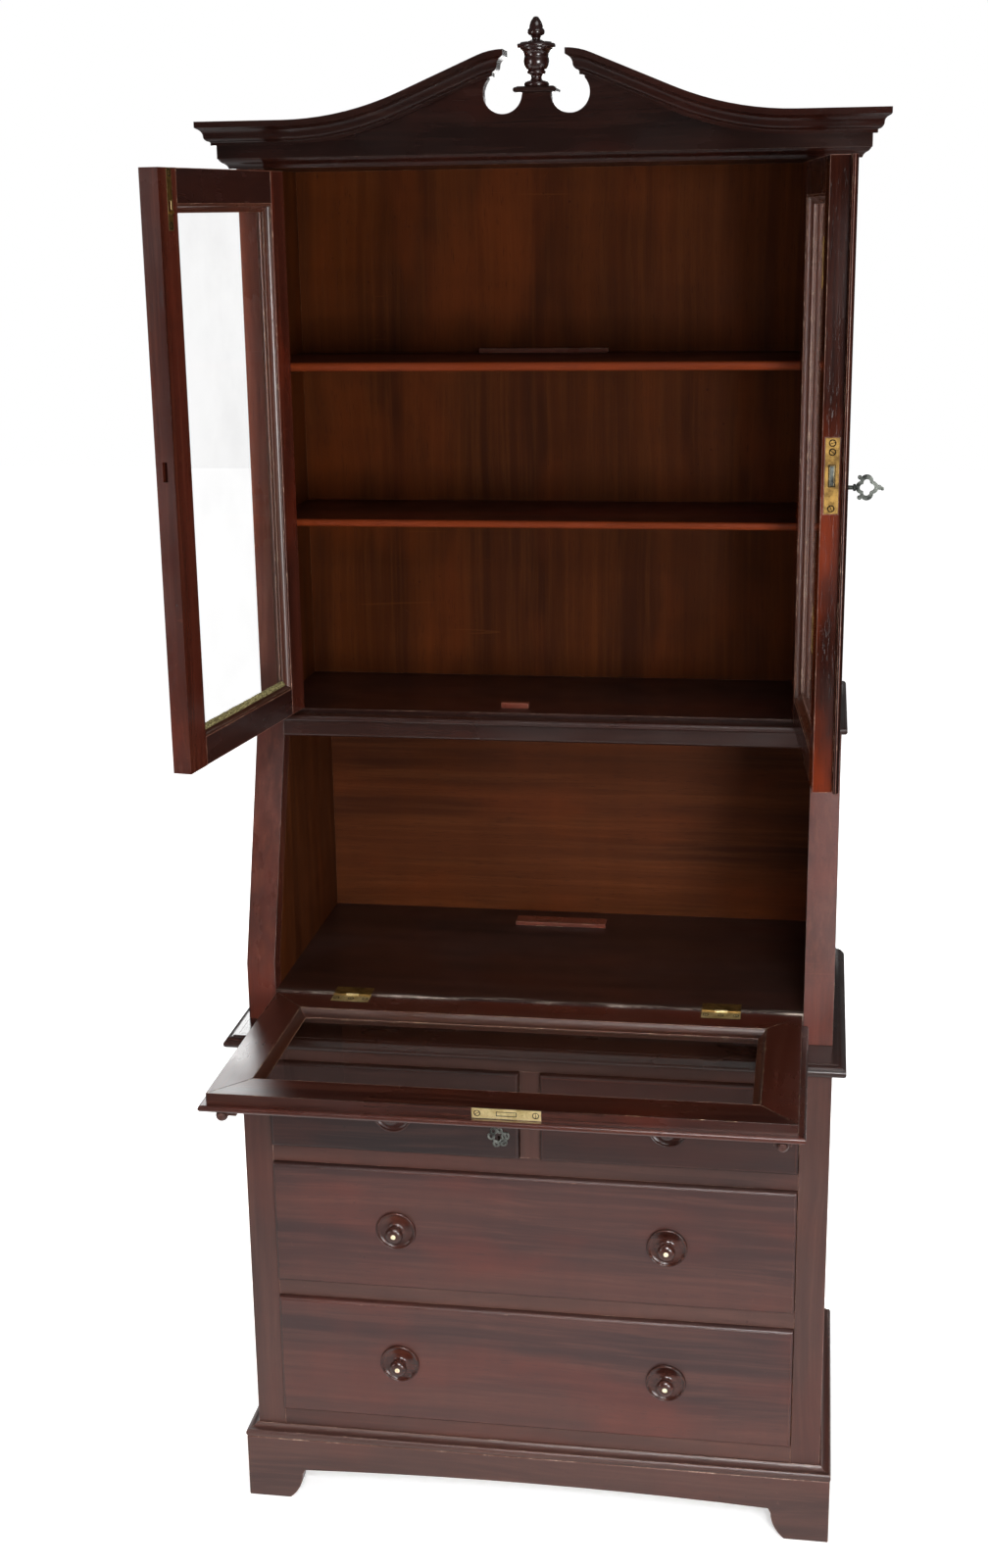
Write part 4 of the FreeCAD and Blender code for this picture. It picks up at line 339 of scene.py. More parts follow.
def new_group(name, inputs, outputs):
    """An empty shader node group with named sockets, and its inner ends."""
    group = bpy.data.node_groups.new(name, "ShaderNodeTree")
    for label, kind in inputs:
        group.interface.new_socket(label, in_out="INPUT", socket_type="NodeSocket" + kind)
    for label, kind in outputs:
        group.interface.new_socket(label, in_out="OUTPUT", socket_type="NodeSocket" + kind)
    return group, group.nodes.new("NodeGroupInput"), group.nodes.new("NodeGroupOutput")


def stretched(tree, place, factors):
    return vector_math(tree, "MULTIPLY", place, factors)


def noise(tree, place, scale, detail=2.0, roughness=0.5, distortion=0.0):
    return add(tree, "ShaderNodeTexNoise", {"Vector": place, "Scale": scale, "Detail": detail,
                                            "Roughness": roughness, "Distortion": distortion}).outputs[0]


def mixed(tree, share, a, b):
    """Colour a, with colour b over it by the share."""
    return add(tree, "ShaderNodeMix", {0: share, 6: a, 7: b}, data_type="RGBA").outputs[2]


# The figure of mahogany along a board: broad bands, fine streaks, pores and reddish clouds.
figure, inside, outside = new_group(
    "mahogany figure",
    [("Grain", "Vector"), ("Dark", "Color"), ("Middle", "Color"), ("Light", "Color"), ("Red", "Color"),
     ("Cloud", "Float"), ("Contrast", "Float")],
    [("Color", "Color"), ("Height", "Float"), ("Streak", "Float")])
grain_place = inside.outputs["Grain"]
sway = noise(figure, stretched(figure, grain_place, (1.6, 2.2, 2.2)), 1.0, 2.0)
sway_across = add(figure, "ShaderNodeCombineXYZ", {1: math_node(figure, "MULTIPLY", sway, 0.05),
                                                   2: math_node(figure, "MULTIPLY", sway, 0.04)})
swayed = vector_math(figure, "ADD", grain_place, sway_across.outputs[0])
band = noise(figure, stretched(figure, swayed, (0.9, 16, 16)), 1.0, 3.0, 0.6)
streak = noise(figure, stretched(figure, swayed, (2.6, 105, 105)), 1.0, 5.0, 0.65)
pore = noise(figure, stretched(figure, swayed, (45, 900, 900)), 1.0, 1.0)
cloud = noise(figure, stretched(figure, grain_place, (3.2, 8, 8)), 1.0, 3.0, 0.55)
ribbon = noise(figure, stretched(figure, grain_place, (26, 5, 5)), 1.0, 2.0)
base = mixed(figure, ramp(figure, band, 0.3, 0.68), inside.outputs["Dark"], inside.outputs["Middle"])
fine = math_node(figure, "MULTIPLY", ramp(figure, streak, 0.42, 0.72), inside.outputs["Contrast"])
base = mixed(figure, fine, base, inside.outputs["Light"])
clouded = math_node(figure, "MULTIPLY", ramp(figure, cloud, 0.48, 0.68), inside.outputs["Cloud"])
base = mixed(figure, clouded, base, inside.outputs["Red"])
base = mixed(figure, ramp(figure, ribbon, 0.35, 0.7, 0.0, 0.14), base, inside.outputs["Dark"])
pores = ramp(figure, pore, 0.62, 0.72, 0.0, 0.5)
base = mixed(figure, pores, base, inside.outputs["Dark"])
figure.links.new(base, outside.inputs["Color"])
figure.links.new(math_node(figure, "SUBTRACT", math_node(figure, "MULTIPLY", streak, 0.4), pores),
                 outside.inputs["Height"])
figure.links.new(streak, outside.inputs["Streak"])

# What years of use leave on a polished surface: dull patches, fine scratches and small knocks.
handling, inside, outside = new_group("handling", [("Place", "Vector")],
                                      [("Dull", "Float"), ("Scratch", "Float"), ("Knock", "Float")])
used_place = inside.outputs["Place"]
dull = noise(handling, used_place, 7.0, 2.0, 0.5)
hair = noise(handling, stretched(handling, used_place, (6, 220, 160)), 1.0, 2.0, 0.5, 0.8)
hair_cross = noise(handling, stretched(handling, used_place, (190, 9, 120)), 1.0, 2.0, 0.5, 0.8)
scratch = math_node(handling, "MAXIMUM", ramp(handling, hair, 0.7, 0.74),
                    ramp(handling, hair_cross, 0.71, 0.75))
rare = ramp(handling, noise(handling, used_place, 3.1, 1.0), 0.52, 0.62)
knock = add(handling, "ShaderNodeTexVoronoi", {"Vector": used_place, "Scale": 34.0, "Randomness": 1.0})
handling.links.new(ramp(handling, dull, 0.2, 0.85), outside.inputs["Dull"])
handling.links.new(math_node(handling, "MULTIPLY", scratch, rare), outside.inputs["Scratch"])
dent = ramp(handling, knock.outputs["Distance"], 0.09, 0.03)
handling.links.new(math_node(handling, "MULTIPLY", dent, rare), outside.inputs["Knock"])

COAT_ROUGHNESS = 0.22


def principled(tree, sockets):
    """Ends a material in one surface with the given sockets."""
    surface = add(tree, "ShaderNodeBsdfPrincipled", sockets)
    add(tree, "ShaderNodeOutputMaterial", {"Surface": surface.outputs[0]})


def wood(name, dark, middle, light, red, cloud=0.5, contrast=0.5, rough=(0.3, 0.5), coat=0.25,
         worn=None, wear=0.0, bump=0.00012, shine=0.4, edge=None):
    """Polished mahogany in four colours, each 0 to 255 in sRGB.

    A worn colour shows through by the share called wear, in patches along the grain. Edge is (place
    along Y, reach, colour, least and most noise) of a band along a front edge: pale dust with a painted
    highlight on the writing board, and a painted highlight on the shelves' noses."""
    made, tree = new_finish(name)
    dark, middle, light, red = (tone(*rgb) for rgb in (dark, middle, light, red))
    grain = add(tree, "ShaderNodeAttribute", attribute_name="grain")
    place = object_place(tree)
    board = add(tree, "ShaderNodeGroup", node_tree=figure)
    for label, value in (("Dark", dark), ("Middle", middle), ("Light", light), ("Red", red),
                         ("Cloud", cloud), ("Contrast", contrast)):
        board.inputs[label].default_value = value
    tree.links.new(grain.outputs["Vector"], board.inputs["Grain"])
    use = add(tree, "ShaderNodeGroup", {"Place": place}, node_tree=handling)
    color = board.outputs["Color"]
    if wear:
        rub = noise(tree, stretched(tree, grain.outputs["Vector"], (60, 140, 140)), 1.0, 4.0, 0.7)
        color = mixed(tree, ramp(tree, rub, 0.62 - 0.3 * wear, 0.8 - 0.2 * wear), color, tone(*worn))
    if edge:
        level, reach, edge_rgb, least, most = edge
        depth = add(tree, "ShaderNodeSeparateXYZ", {0: place}).outputs["Y"]
        lying = noise(tree, stretched(tree, place, (14, 220, 30)), 1.0, 4.0, 0.65)
        shown = math_node(tree, "MULTIPLY", ramp(tree, depth, level, level + reach, 0.95, 0.0),
                          ramp(tree, lying, least, most))
        color = mixed(tree, shown, color, tone(*edge_rgb))
    color = mixed(tree, math_node(tree, "MULTIPLY", use.outputs["Scratch"], 0.3), color, light)
    color = mixed(tree, math_node(tree, "MULTIPLY", use.outputs["Knock"], 0.7), color, dark)
    gloss = ramp(tree, math_node(tree, "ADD", use.outputs["Dull"],
                                 math_node(tree, "MULTIPLY", board.outputs["Streak"], 0.35)),
                 0.2, 1.1, rough[0], rough[1])
    dents = math_node(tree, "SUBTRACT", board.outputs["Height"],
                      math_node(tree, "MULTIPLY", use.outputs["Knock"], 2.0))
    relief = add(tree, "ShaderNodeBump", {"Strength": 1.0, "Distance": bump, "Height": dents})
    principled(tree, {"Base Color": color, "Roughness": gloss, "Normal": relief.outputs[0],
                      "Coat Weight": coat, "Coat Roughness": COAT_ROUGHNESS, "Specular IOR Level": shine})
    return made


def is_tall(size):
    return size.z > 0.5


def is_back_board(size):
    return size.y < 0.03 and size.x > 0.5 and size.z > 0.3


chest_wood = wood("chest mahogany", (52, 31, 27), (74, 46, 39), (92, 60, 51), (86, 42, 32), cloud=0.4,
                  contrast=0.4)
chest_arris = wood("chest arris", (66, 40, 33), (98, 66, 56), (128, 96, 82), (104, 56, 42),
                   worn=(160, 132, 116), wear=0.4, rough=(0.25, 0.45))
hidden_wood = wood("carcase pine", (120, 84, 52), (164, 124, 82), (186, 148, 104), (150, 104, 66),
                   cloud=0.3, contrast=0.5, rough=(0.55, 0.75), coat=0.0)
bare_wood = wood("bare back board", (62, 38, 24), (92, 60, 39), (122, 86, 58), (100, 60, 36), cloud=0.4,
                 contrast=0.6, rough=(0.55, 0.78), coat=0.0, shine=0.15)
MOULDED_EASE = 0.0005
dress("plinth_boards", chest_wood, chest_arris, ease=0.0012)
dress("plinth_moulding", chest_wood, chest_arris, MOULDED_EASE, "mitred")
dress("chest_case", chest_wood, chest_arris,
      run=lambda size: 2 if is_tall(size) and size.x < 0.1 else "longest",
      apart=(is_back_board, bare_wood))
dress("face_frame", chest_wood, chest_arris)
dress("drawer_runners", hidden_wood, hidden_wood)
top_wood = wood("moulded top mahogany", (30, 15, 12), (48, 26, 21), (66, 40, 32), (60, 26, 19),
                cloud=0.45, contrast=0.4, rough=(0.22, 0.42), coat=0.35)
top_arris = wood("moulded top arris", (46, 26, 21), (74, 48, 40), (104, 76, 64), (80, 42, 31),
                 worn=(138, 110, 94), wear=0.3, rough=(0.22, 0.4))
dress("chest_top", top_wood, top_arris, MOULDED_EASE, "mitred")


# Drawers: solid fronts with a thumb-moulded edge, on boxes of paler wood with bottoms grooved in.
# Each turned knob is dished, with a bone dot let into its boss, and its spigot is glued into the front.

front_wood = wood("drawer front mahogany", (48, 30, 29), (73, 43, 37), (94, 59, 50), (94, 41, 31),
                  cloud=0.4, contrast=0.4, rough=(0.3, 0.44), coat=0.22)
# The small drawers' fronts take a darker copy of the drawer front mahogany: partly their own darker wood,
# partly painted shade from the fall that stands out above them.
small_front_wood_with_painted_shade = wood("small drawer front mahogany", (32, 20, 20), (54, 32, 28), (76, 48, 41),
                         (72, 32, 24), cloud=0.35, contrast=0.45, rough=(0.28, 0.42), coat=0.2)
lining_wood = wood("drawer lining", (126, 88, 58), (160, 122, 84), (182, 146, 108), (140, 90, 60),
                   cloud=0.3, contrast=0.6, rough=(0.5, 0.72), coat=0.0)
DRAWERS = ("small_drawer_left", "small_drawer_right", "long_drawer_upper", "long_drawer_lower")
front_arris = wood("drawer front arris", (50, 22, 16), (74, 35, 25), (98, 56, 42), (100, 42, 27),
                   worn=(124, 92, 78), wear=0.15, rough=(0.3, 0.5), coat=0.15)
for drawer in DRAWERS:
    dress(drawer + "_front", front_wood if drawer.startswith("long") else small_front_wood_with_painted_shade, front_arris,
          ease=0.0008)
    dress(drawer + "_box", lining_wood, lining_wood)


def join_rings(form, lower, upper):
    """Faces between two rings of corners, either of which may be a single corner."""
    for i in range(max(len(lower), len(upper))):
        around = [lower[i % len(lower)], lower[(i + 1) % len(lower)],
                  upper[(i + 1) % len(upper)], upper[i % len(upper)]]
        form.faces.new(list(dict.fromkeys(around)))


def mesh_from(form, name, smooth=False):
    """A finished form as a mesh, with its faces turned outwards."""
    bmesh.ops.recalc_face_normals(form, faces=form.faces)
    mesh = bpy.data.meshes.new(name)
    form.to_mesh(mesh)
    form.free()
    mesh.polygons.foreach_set("use_smooth", [smooth] * len(mesh.polygons))
    return mesh


def lathe(name, profile, segments=56):
    """A closed turned form about Z, from (radius, height) points that start and end on the axis."""
    form = bmesh.new()
    rings = []
    for radius, height in profile:
        if radius < WELD_DISTANCE:
            rings.append([form.verts.new((0, 0, height))])
        else:
            rings.append([form.verts.new((radius * math.cos(math.tau * i / segments),
                                          radius * math.sin(math.tau * i / segments), height))
                          for i in range(segments)])
    for lower, upper in zip(rings, rings[1:]):
        join_rings(form, lower, upper)
    mesh = mesh_from(form, name, smooth=True)
    mesh.attributes.new("grain", "FLOAT_VECTOR", "POINT").data.foreach_set(
        "vector", [value for vertex in mesh.vertices for value in vertex.co])
    return mesh


MM = 0.001
EASE_SHARE = 0.49


def rounded(profile, steps=5):
    """A turned profile's (radius, height, ease) corners in millimetres, as the points in metres of a
    profile whose corners are eased by short curves."""
    profile = [(radius * MM, height * MM, ease * MM) for radius, height, ease in profile]
    smooth = []
    for number, (radius, height, ease) in enumerate(profile):
        here = Vector((radius, height))
        if not ease or number in (0, len(profile) - 1):
            smooth.append((radius, height))
            continue
        before, after = Vector(profile[number - 1][:2]), Vector(profile[number + 1][:2])
        start = here + (before - here).normalized() * min(ease, (before - here).length * EASE_SHARE)
        end = here + (after - here).normalized() * min(ease, (after - here).length * EASE_SHARE)
        for step in range(steps + 1):
            share = step / steps
            smooth.append(tuple(start * (1 - share) ** 2 + here * 2 * share * (1 - share)
                                + end * share ** 2))
    return smooth


# Sets a turned piece or a screw at every point, each with its own turn and grain.
setting = bpy.data.node_groups.new("set pieces", "GeometryNodeTree")
for label, kind in (("Places", "Geometry"), ("Piece", "Object"), ("Finish", "Material"), ("Seed", "Int")):
    setting.interface.new_socket(label, in_out="INPUT", socket_type="NodeSocket" + kind)
setting.interface.new_socket("Set", in_out="OUTPUT", socket_type="NodeSocketGeometry")
inside = setting.nodes.new("NodeGroupInput")
piece_info = add(setting, "GeometryNodeObjectInfo",
                 {"Object": inside.outputs["Piece"], "As Instance": True})
turns = add(setting, "GeometryNodeInputNamedAttribute", {"Name": "turn"}, data_type="FLOAT_VECTOR")
to_turn = add(setting, "FunctionNodeEulerToRotation", {0: turns.outputs[0]})
placed = add(setting, "GeometryNodeInstanceOnPoints",
             {"Points": inside.outputs["Places"], "Instance": piece_info.outputs["Geometry"],
              "Rotation": to_turn.outputs[0]})
shifts = add(setting, "FunctionNodeRandomValue",
             {0: (0, 0, 0), 1: (9, 9, 9), "Seed": inside.outputs["Seed"]}, data_type="FLOAT_VECTOR")
kept = add(setting, "GeometryNodeStoreNamedAttribute",
           {"Geometry": placed.outputs[0], "Name": "shift", "Value": shifts.outputs[0]},
           data_type="FLOAT_VECTOR", domain="INSTANCE")
real = add(setting, "GeometryNodeRealizeInstances", {"Geometry": kept.outputs[0]})
old_grain = add(setting, "GeometryNodeInputNamedAttribute", {"Name": "grain"}, data_type="FLOAT_VECTOR")
shift_of = add(setting, "GeometryNodeInputNamedAttribute", {"Name": "shift"}, data_type="FLOAT_VECTOR")
new_grain = vector_math(setting, "ADD", old_grain.outputs[0], shift_of.outputs[0])
grained = add(setting, "GeometryNodeStoreNamedAttribute",
              {"Geometry": real.outputs[0], "Name": "grain", "Value": new_grain},
              data_type="FLOAT_VECTOR", domain="POINT")
finished = add(setting, "GeometryNodeSetMaterial",
               {"Geometry": grained.outputs[0], "Material": inside.outputs["Finish"]})
setting.links.new(finished.outputs[0], setting.nodes.new("NodeGroupOutput").inputs[0])
setting_input = {item.name: item.identifier for item in setting.interface.items_tree
                 if item.in_out == "INPUT"}


def set_pieces(name, piece_mesh, finish, places, body, node, replaced=True):
    """Plain copies of a piece at (place, turn) pairs, all on one body.

    The length of the name is the seed of their grain, and replaced says that they stand for the node."""
    base = bpy.data.meshes.new(name)
    base.from_pydata([place for place, turn in places], [], [])
    base.attributes.new("turn", "FLOAT_VECTOR", "POINT").data.foreach_set(
        "vector", [value for place, turn in places for value in turn])
    piece = new_object(name + "_form", piece_mesh)
    holder = new_object(name + "_places", base)
    modifier = holder.modifiers.new("set pieces", "NODES")
    modifier.node_group = setting
    modifier[setting_input["Piece"]] = piece
    modifier[setting_input["Finish"]] = finish
    modifier[setting_input["Seed"]] = len(name)
    bpy.context.view_layer.update()
    graph = bpy.context.evaluated_depsgraph_get()
    mesh = bpy.data.meshes.new_from_object(holder.evaluated_get(graph))
    for item in (piece, holder):
        bpy.data.objects.remove(item)
    mesh.name = name
    result = new_object(name, mesh)
    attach(result, body)
    if replaced:
        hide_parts(node)


def speckled(name, deep, pale, grains, blend=(0.35, 0.7), gloss=(0.3, 0.7, 0.6, 0.85), bump=0.0, more=()):
    """A finish in two colours, each 0 to 255 in sRGB, mixed by a fine noise.

    Grains are the noise's scale, detail and roughness. Blend and gloss start with the noise levels
    between which the colour and the roughness change, and gloss ends with the two roughnesses. More
    sets further sockets of the surface."""
    made, tree = new_finish(name)
    specks = noise(tree, object_place(tree), *grains)
    sockets = {"Base Color": mixed(tree, ramp(tree, specks, *blend), tone(*deep), tone(*pale)),
               "Roughness": ramp(tree, specks, *gloss)}
    if bump:
        sockets["Normal"] = add(tree, "ShaderNodeBump", {"Distance": bump, "Height": specks}).outputs[0]
    principled(tree, sockets | dict(more))
    return made


FACING_FRONT = (math.radians(90), 0.0, 0.0)
KNOB_PROFILE = ((0, -21, 0), (5, -21, 0), (5, 0.02, 0), (27.6, 0.02, 0.4), (28, 3.2, 1.2),
                (26.9, 5.4, 1.2), (25.3, 5.2, 1.0), (24.4, 3.2, 0.8), (22.9, 2.6, 0.6), (22.2, 1.9, 0.6),
                (15.5, 1.1, 3), (9.6, 2.4, 2.6), (7.2, 5.4, 2), (7.2, 8.0, 2), (9.4, 11.2, 2.2),
                (12.2, 13.6, 1.4), (12.4, 16.6, 1.6), (10.6, 19.6, 1.8), (7.4, 21.2, 1.4),
                (3.4, 21.56, 0), (0, 21.56, 0))
KNOB_RADIUS = 28 * MM
DOT_PROFILE = ((0, 21.0, 0), (3.5, 21.0, 0), (3.5, 21.7, 0.3), (1.6, 22.0, 1), (0, 22.0, 0))
turned_wood = wood("turned mahogany", (34, 15, 11), (64, 30, 22), (92, 52, 40), (92, 36, 22), cloud=0.6,
                   contrast=0.4, rough=(0.16, 0.32), coat=0.4, bump=0.00005, shine=0.35)
bone = speckled("bone dot", (206, 186, 146), (246, 236, 208), (900.0, 3.0, 0.6),
                gloss=(0.3, 0.8, 0.25, 0.4),
                more={"Subsurface Weight": 0.15, "Subsurface Scale": 0.001})
knob_form = lathe("knob", rounded(KNOB_PROFILE))
dot_form = lathe("dot", rounded(DOT_PROFILE), segments=28)
for drawer in DRAWERS:
    node = drawer + "_knobs"
    low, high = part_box(node)
    front_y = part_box(drawer + "_front")[0].y
    middle_z = (low.z + high.z) / 2
    if drawer.startswith("long"):
        across = (KNOB_RADIUS - high.x, high.x - KNOB_RADIUS)
    else:
        across = ((low.x + high.x) / 2,)
    spots = [((x, front_y, middle_z), FACING_FRONT) for x in across]
    set_pieces(node + "_turned", knob_form, turned_wood, spots, drawer, node)
    set_pieces(node + "_dots", dot_form, bone, spots, drawer, node)


def metal(name, deep, bright, dull, rough=(0.25, 0.5), metallic=1.0, bump=0.00004):
    """Old metal in three colours, each 0 to 255 in sRGB: rubbed bright in places, and finely pitted."""
    made, tree = new_finish(name)
    deep, bright, dull = (tone(*rgb) for rgb in (deep, bright, dull))
    place = object_place(tree)
    use = add(tree, "ShaderNodeGroup", {"Place": place}, node_tree=handling)
    tarnish = noise(tree, place, 60.0, 5.0, 0.65)
    fine = noise(tree, place, 900.0, 3.0, 0.6)
    color = mixed(tree, ramp(tree, tarnish, 0.36, 0.64), deep, bright)
    color = mixed(tree, ramp(tree, fine, 0.56, 0.74, 0.0, 0.7), color, dull)
    color = mixed(tree, use.outputs["Scratch"], color, bright)
    gloss = ramp(tree, tarnish, 0.3, 0.7, rough[1], rough[0])
    relief = add(tree, "ShaderNodeBump", {"Strength": 1.0, "Distance": bump, "Height": fine})
    principled(tree, {"Base Color": color, "Roughness": gloss, "Metallic": metallic,
                      "Normal": relief.outputs[0]})
    return made


SMALL_EASE = 0.0003
pewter = metal("aged pewter", (70, 72, 69), (156, 159, 152), (44, 44, 40), rough=(0.28, 0.46))
key_steel = metal("key steel", (34, 36, 34), (92, 95, 90), (22, 22, 20), rough=(0.3, 0.5), metallic=0.9)
aged_brass = metal("aged brass", (92, 68, 30), (146, 114, 58), (62, 45, 20), rough=(0.3, 0.5),
                   metallic=0.8)
# The brass arrises are paler than the plates: partly rubbed bright, partly a painted highlight along the
# edges.
brass_edge_wear_and_painted_highlight = metal("rubbed brass edge", (164, 136, 84), (216, 192, 138), (104, 80, 44),
                    rough=(0.26, 0.44), metallic=0.8)
dress("drawer_lock", aged_brass, aged_brass, SMALL_EASE)
dress("drawer_lock_bolt", pewter, pewter, SMALL_EASE)
rubbed_pewter = metal("rubbed pewter", (142, 144, 138), (208, 210, 202), (92, 92, 86),
                      rough=(0.22, 0.4))
dress("drawer_escutcheon", pewter, rubbed_pewter)


# Bureau: solid sides with a thick sloping lipping, a boarded back and top, and a writing board.
# The moulding round its top holds the bookcase, and the guides under the board carry the lopers.

BOARD_FRONT_Y = -0.0144
side_wood = wood("bureau side mahogany", (54, 24, 18), (88, 41, 30), (112, 60, 45), (106, 40, 26),
                 cloud=0.5, contrast=0.5, rough=(0.26, 0.46), coat=0.3)
inner_wood = wood("bureau inside", (50, 22, 8), (78, 37, 14), (102, 56, 27), (94, 41, 14), cloud=0.5,
                  contrast=0.4, rough=(0.4, 0.6), coat=0.0, shine=0.1)
# The writing board's front edge carries a pale line: dust, with a painted highlight.
board_wood = wood("writing board mahogany", (28, 14, 10), (48, 25, 18), (66, 40, 30), (56, 25, 16),
                  cloud=0.5, contrast=0.4, rough=(0.3, 0.55), coat=0.15,
                  edge=(BOARD_FRONT_Y, 0.010, (186, 172, 160), 0.42, 0.7))
inner_arris = wood("inside arris", (54, 28, 16), (82, 47, 27), (116, 74, 46), (94, 46, 24),
                   worn=(130, 92, 62), wear=0.3)
dress("bureau_case", inner_wood, inner_arris)
dress("bureau_lippings", side_wood, top_arris, run=2)
dress("writing_board", board_wood, top_arris, run=0)
dress("bureau_rails", top_wood, top_arris)
dress("mid_moulding", top_wood, top_arris, MOULDED_EASE, "mitred")
dress("loper_guides", hidden_wood, hidden_wood)
LOPER_KNOB_PROFILE = ((0, -1, 0), (5.4, -1, 0), (5.5, 1.2, 0.8), (5.4, 2.9, 0.8), (3.6, 5.2, 1.5),
                      (3.3, 7.8, 1.5), (4.2, 14.4, 3), (6.4, 18.0, 3), (7.5, 22.0, 3), (6.6, 26.6, 3),
                      (3.8, 29.4, 1), (0, 29.5, 0))
LOPER_DOT_PROFILE = ((0, 29.2, 0), (2.45, 29.2, 0), (2.45, 29.8, 0.3), (0, 30.0, 0))
LOPER_KNOB_LENGTH = 30 * MM
LOPER_KNOB_LEVEL = 0.728012
loper_knob_form = lathe("loper knob", rounded(LOPER_KNOB_PROFILE), segments=36)
loper_dot_form = lathe("loper dot", rounded(LOPER_DOT_PROFILE), segments=24)
dark_turned_wood = wood("dark turned mahogany", (18, 10, 8), (34, 19, 15), (56, 36, 30), (46, 22, 16),
                        cloud=0.4, contrast=0.4, rough=(0.14, 0.3), coat=0.4, bump=0.00005, shine=0.35)
for side in ("left", "right"):
    node = side + "_loper"
    low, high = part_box(node)
    dress(node, chest_wood, chest_arris, run=1)
    spot = [(((low.x + high.x) / 2, low.y + LOPER_KNOB_LENGTH, LOPER_KNOB_LEVEL), FACING_FRONT)]
    set_pieces(node + "_knob", loper_knob_form, dark_turned_wood, spot, node, node)
    set_pieces(node + "_dot", loper_dot_form, bone, spot, node, node)


# Fall: four mitred boards with a rounded lip, beads that hold the pane, two brass butts and a lock.
# Open, it lies on the lopers; its lip is knocked along its front edge.

fall_wood = wood("fall mahogany", (42, 18, 13), (68, 31, 22), (90, 50, 38), (84, 31, 19), cloud=0.5,
                 contrast=0.4, rough=(0.2, 0.4), coat=0.4)
fall_arris = wood("fall arris", (34, 19, 15), (58, 35, 28), (86, 60, 48), (66, 33, 24),
                  worn=(168, 142, 112), wear=0.45, rough=(0.3, 0.5))
bead_wood = wood("bead mahogany", (38, 18, 12), (60, 31, 21), (86, 53, 38), (74, 33, 19), cloud=0.4,
                 contrast=0.45, rough=(0.25, 0.45), coat=0.2)
# The beads' arrises are worn pale, and lighter still as a painted highlight where light catches their
# edge at the pane.
bead_arris_wear_and_painted_highlight = wood("bead arris, wear and painted highlight", (62, 36, 27), (98, 64, 49), (134, 98, 77), (104, 57, 40),
                  worn=(164, 138, 112), wear=0.35)


def is_broad(size):
    return size.x > 0.7 and size.y > 0.3


dress("fall_frame", fall_wood, fall_arris, run=lambda size: "mitred" if is_broad(size) else "longest")
dress("fall_beads", bead_wood, bead_arris_wear_and_painted_highlight, MOULDED_EASE, "framed")


DUST_SHADE = 0.93


def glass(name, tint, bend):
    """Thin old window glass with smears: it bends little, and lets the lamps' light straight through."""
    made, tree = new_finish(name)
    smear = noise(tree, object_place(tree), 7.0, 5.0, 0.6)
    dusty = tuple(value * DUST_SHADE for value in tint[:3]) + (1.0,)
    surface = add(tree, "ShaderNodeBsdfPrincipled",
                  {"Base Color": mixed(tree, ramp(tree, smear, 0.4, 0.75), tint, dusty),
                   "Roughness": ramp(tree, smear, 0.55, 0.85, 0.0, 0.02), "IOR": bend,
                   "Transmission Weight": 1.0})
    clear = add(tree, "ShaderNodeBsdfTransparent", {"Color": tint})
    path = add(tree, "ShaderNodeLightPath")
    both = add(tree, "ShaderNodeMixShader", {0: path.outputs["Is Shadow Ray"], 1: surface.outputs[0],
                                             2: clear.outputs[0]})
    add(tree, "ShaderNodeOutputMaterial", {"Surface": both.outputs[0]})
    return made


fall_glass = glass("fall glass", (0.79, 0.8, 0.79, 1.0), 1.3)
door_glass = glass("door glass", (1.0, 1.0, 1.0, 1.0), 1.12)
for node, pane in (("fall_glass", fall_glass), ("left_door_glass", door_glass),
                   ("right_door_glass", door_glass)):
    parts[node].data.materials.clear()
    parts[node].data.materials.append(pane)

bright_brass = metal("rubbed brass", (178, 152, 96), (222, 202, 150), (126, 100, 60),
                     rough=(0.36, 0.52), metallic=0.7)
LEAF_EASE = 0.0002
dress("fall_brass", bright_brass, bright_brass, LEAF_EASE)
dress("fall_lock_bolt", bright_brass, bright_brass, SMALL_EASE)

SCREW_RADIUS = 0.0031
SCREW_CROWN = 0.86
SCREW_SEGMENTS = 28
SCREW_RISE = 0.0003
SCREW_DEPTH = 0.0012
SLOT_HALF = 0.00045
GAP_RISE = 0.00006
GAP_WIDTH = 0.0010
GAP_CLEAR = 0.0001


def slotted_screw(name):
    """A countersunk screw head sawn across, its face up: two half rounds with the slot between them."""
    form = bmesh.new()
    start = math.asin(SLOT_HALF / SCREW_RADIUS)
    for turned in (0.0, math.pi):
        rim = [turned + start + (math.pi - 2 * start) * i / SCREW_SEGMENTS
               for i in range(SCREW_SEGMENTS + 1)]
        rings = [[form.verts.new((radius * math.cos(angle), radius * math.sin(angle), level))
                  for angle in rim]
                 for radius, level in ((SCREW_RADIUS, -SCREW_DEPTH), (SCREW_RADIUS, 0.0),
                                       (SCREW_RADIUS * SCREW_CROWN, SCREW_RISE))]
        form.faces.new(rings[0][::-1])
        form.faces.new(rings[-1])
        for lower, upper in zip(rings, rings[1:]):
            join_rings(form, lower, upper)
    return mesh_from(form, name)


screw_form = slotted_screw("screw")
gap_form = lathe("gap", ((0, -SCREW_DEPTH), (SCREW_RADIUS + GAP_WIDTH, -SCREW_DEPTH),
                         (SCREW_RADIUS + GAP_WIDTH, GAP_RISE), (0, GAP_RISE)), SCREW_SEGMENTS)
